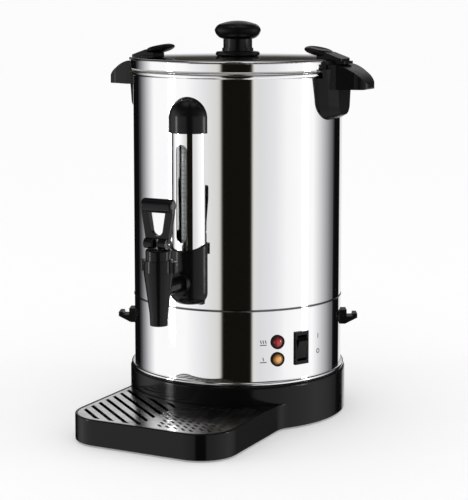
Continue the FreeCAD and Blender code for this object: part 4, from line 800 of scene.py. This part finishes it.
def make_studio():
    """Soft light from all round. Shiny surfaces see pale walls with dark flags between them."""
    world = bpy.data.worlds.new("studio")
    bpy.context.scene.world = world
    world.use_nodes = True
    world.cycles.sampling_method = "NONE"
    tree = world.node_tree
    tree.nodes.clear()
    direction = add(tree, "ShaderNodeTexCoord").outputs["Generated"]
    turned = add(tree, "ShaderNodeVectorRotate",
                 {"Vector": direction, "Angle": -math.radians(camera_turn)}, rotation_type="Z_AXIS")
    parts = add(tree, "ShaderNodeSeparateXYZ", {0: turned.outputs[0]})
    towards = add(tree, "ShaderNodeMath", {0: parts.outputs["Y"], 1: -1.0}, operation="MULTIPLY")
    around = add(tree, "ShaderNodeMath", {0: parts.outputs["X"], 1: towards.outputs[0]}, operation="ARCTAN2")
    share = add(tree, "ShaderNodeMapRange", {
        "Value": around.outputs[0], "From Min": -math.pi, "From Max": math.pi})
    walls = add(tree, "ShaderNodeValToRGB", {0: share.outputs["Result"]})
    fill_ramp(walls.color_ramp, [((angle + 180) / 360, linear(code)) for angle, code in studio_walls])
    rise = add(tree, "ShaderNodeMath", {0: parts.outputs["Z"]}, operation="ARCSINE")
    darkness = dark_by_height(tree, rise.outputs[0], parts.outputs["Y"])
    above = add(tree, "ShaderNodeMix", data_type="RGBA")
    tree.links.new(darkness, above.inputs[0])
    tree.links.new(walls.outputs[0], above.inputs[6])
    above.inputs[7].default_value = rgba(linear(ceiling_colour))
    mirrored = add(tree, "ShaderNodeBackground", {"Color": above.outputs[2], "Strength": mirrored_level})
    plain = add(tree, "ShaderNodeBackground", {"Color": (1, 1, 1, 1), "Strength": world_level})
    light_path = add(tree, "ShaderNodeLightPath")
    both = add(tree, "ShaderNodeMixShader", {0: light_path.outputs["Is Glossy Ray"]})
    tree.links.new(plain.outputs[0], both.inputs[1])
    tree.links.new(mirrored.outputs[0], both.inputs[2])
    backdrop = add(tree, "ShaderNodeBackground", {"Color": (1, 1, 1, 1), "Strength": backdrop_level})
    seen = add(tree, "ShaderNodeMixShader", {0: light_path.outputs["Is Camera Ray"]})
    tree.links.new(both.outputs[0], seen.inputs[1])
    tree.links.new(backdrop.outputs[0], seen.inputs[2])
    add(tree, "ShaderNodeOutputWorld", {"Surface": seen.outputs[0]})


# What a shiny wall sees, by the angle round the urn from the camera's own direction, with its colour
studio_walls = [
    (-180, "E0E0E2"), (-171, "E0E0E2"), (-168, "0C0C0D"), (-141, "0C0C0D"), (-134, "4C4C4E"), (-124, "98989B"),
    (-113, "D8D8DA"), (-104, "FFFFFF"), (-60, "FFFFFF"), (-38, "E8E8E9"), (-22, "D9D8D4"), (-19, "C7C5BF"),
    (-17.5, "77746D"), (-16.5, "12110D"), (12.5, "12110D"), (14, "2E2B27"), (15, "8A8782"), (17, "E2DFDA"),
    (24, "DCDDDE"), (40, "E8E8E9"), (55, "FAFAFA"), (70, "FFFFFF"), (90, "FFFFFF"), (108, "BEBEC0"),
    (122, "7C7C7F"), (129, "4A4A4C"), (134, "0C0C0D"), (151, "0C0C0D"), (154, "E6E6E8"), (180, "E0E0E2"),
]
# How dark the surroundings are by height in degrees, as (height, darkness). At the sides there is a dark
# ceiling with a light overhead. In front there is also a low band, which the grille mirrors off the shell,
# and behind a lower one, which the near half of the lid mirrors
ceiling_colour = "36322D"
dark_sides = ((-90, 0.0), (14, 0.0), (30, 0.75), (42, 1.0), (58, 0.9), (66, 0.05), (90, 0.0))
dark_front = ((-90, 0.0), (6, 0.0), (12, 1.0), (20, 1.0), (30, 0.7), (42, 1.0), (58, 0.9), (66, 0.05),
              (90, 0.0))
dark_behind = ((-90, 0.0), (0.5, 0.0), (2.5, 1.0), (12, 1.0), (13.8, 0.0), (17, 0.0), (32, 0.75), (58, 0.9),
               (66, 0.05), (90, 0.0))


def dark_by_height(tree, rise, depth):
    """How dark the surroundings are at a height: depth is -1 towards the camera's side and 1 behind the urn."""
    share = add(tree, "ShaderNodeMapRange", {"Value": rise, "From Min": -math.pi / 2, "From Max": math.pi / 2})
    levels = []
    for stops in (dark_sides, dark_front, dark_behind):
        ramp = add(tree, "ShaderNodeValToRGB", {0: share.outputs["Result"]})
        fill_ramp(ramp.color_ramp, [((degrees + 90) / 180, (level,) * 3) for degrees, level in stops])
        levels.append(ramp.outputs["Color"])
    result = levels[0]
    for level, near, far in ((levels[1], -0.3, -0.8), (levels[2], 0.6, 0.8)):
        part = add(tree, "ShaderNodeMapRange", {"Value": depth, "From Min": near, "From Max": far})
        mix = add(tree, "ShaderNodeMix", data_type="RGBA")
        tree.links.new(part.outputs["Result"], mix.inputs[0])
        tree.links.new(result, mix.inputs[6])
        tree.links.new(level, mix.inputs[7])
        result = mix.outputs[2]
    return result


# Two tall softboxes, by their angle round the urn from the camera's direction: they draw the light
# lines on the black plastic
softbox_angles = (-74.0, 76.0)
softbox_distance = 1.5
softbox_width = 0.2
softbox_height = 0.65
softbox_middle = 0.1
softbox_radiance = 12.0
world_level = 0.8
mirrored_level = 1.12
backdrop_level = 0.97


def make_softboxes():
    for angle in softbox_angles:
        data = bpy.data.lights.new("softbox", "AREA")
        data.shape = "RECTANGLE"
        data.size = softbox_width
        data.size_y = softbox_height
        data.energy = softbox_radiance * math.pi * softbox_width * softbox_height
        lamp = bpy.data.objects.new("softbox", data)
        lamp.location = radial(camera_turn + angle, softbox_distance, softbox_middle)
        lamp.rotation_euler = (math.radians(90), 0, math.radians(camera_turn + angle))
        lamp.visible_camera = False
        bpy.context.scene.collection.objects.link(lamp)


def fill_ramp(ramp, stops):
    """Sets a colour ramp's stops, given as (position from 0 to 1, linear colour)."""
    while len(ramp.elements) > 1:
        ramp.elements.remove(ramp.elements[-1])
    for k, (position, colour) in enumerate(stops):
        element = ramp.elements[0] if k == 0 else ramp.elements.new(position)
        element.position = position
        element.color = rgba(colour)


class URN_PT_panel(bpy.types.Panel):
    """The urn's steps, colours and sizes"""
    bl_idname = "URN_PT_panel"
    bl_label = "Hot water urn"
    bl_space_type = "VIEW_3D"
    bl_region_type = "UI"
    bl_category = "Urn"

    def draw(self, context):
        for step in STEPS:
            self.layout.operator(step.bl_idname)
        for group in (context.scene.urn_colours, context.scene.urn_sizes):
            column = self.layout.column(align=True)
            for name in group.bl_rna.properties.keys():
                if name not in ("rna_type", "name"):
                    column.prop(group, name)


STEPS = (URN_OT_stage, URN_OT_steel, URN_OT_base, URN_OT_gauge, URN_OT_tap, URN_OT_handles, URN_OT_controls,
         URN_OT_inside, URN_OT_recesses)
CLASSES = (UrnColours, UrnSizes) + STEPS + (URN_PT_panel,)


def register():
    for cls in CLASSES:
        bpy.utils.register_class(cls)
    bpy.types.Scene.urn_colours = bpy.props.PointerProperty(type=UrnColours)
    bpy.types.Scene.urn_sizes = bpy.props.PointerProperty(type=UrnSizes)


def unregister():
    del bpy.types.Scene.urn_sizes
    del bpy.types.Scene.urn_colours
    for cls in reversed(CLASSES):
        bpy.utils.unregister_class(cls)


def main():
    register()
    for step in STEPS:
        group, name = step.bl_idname.split(".")
        getattr(getattr(bpy.ops, group), name)()


if __name__ == "__main__":
    main()
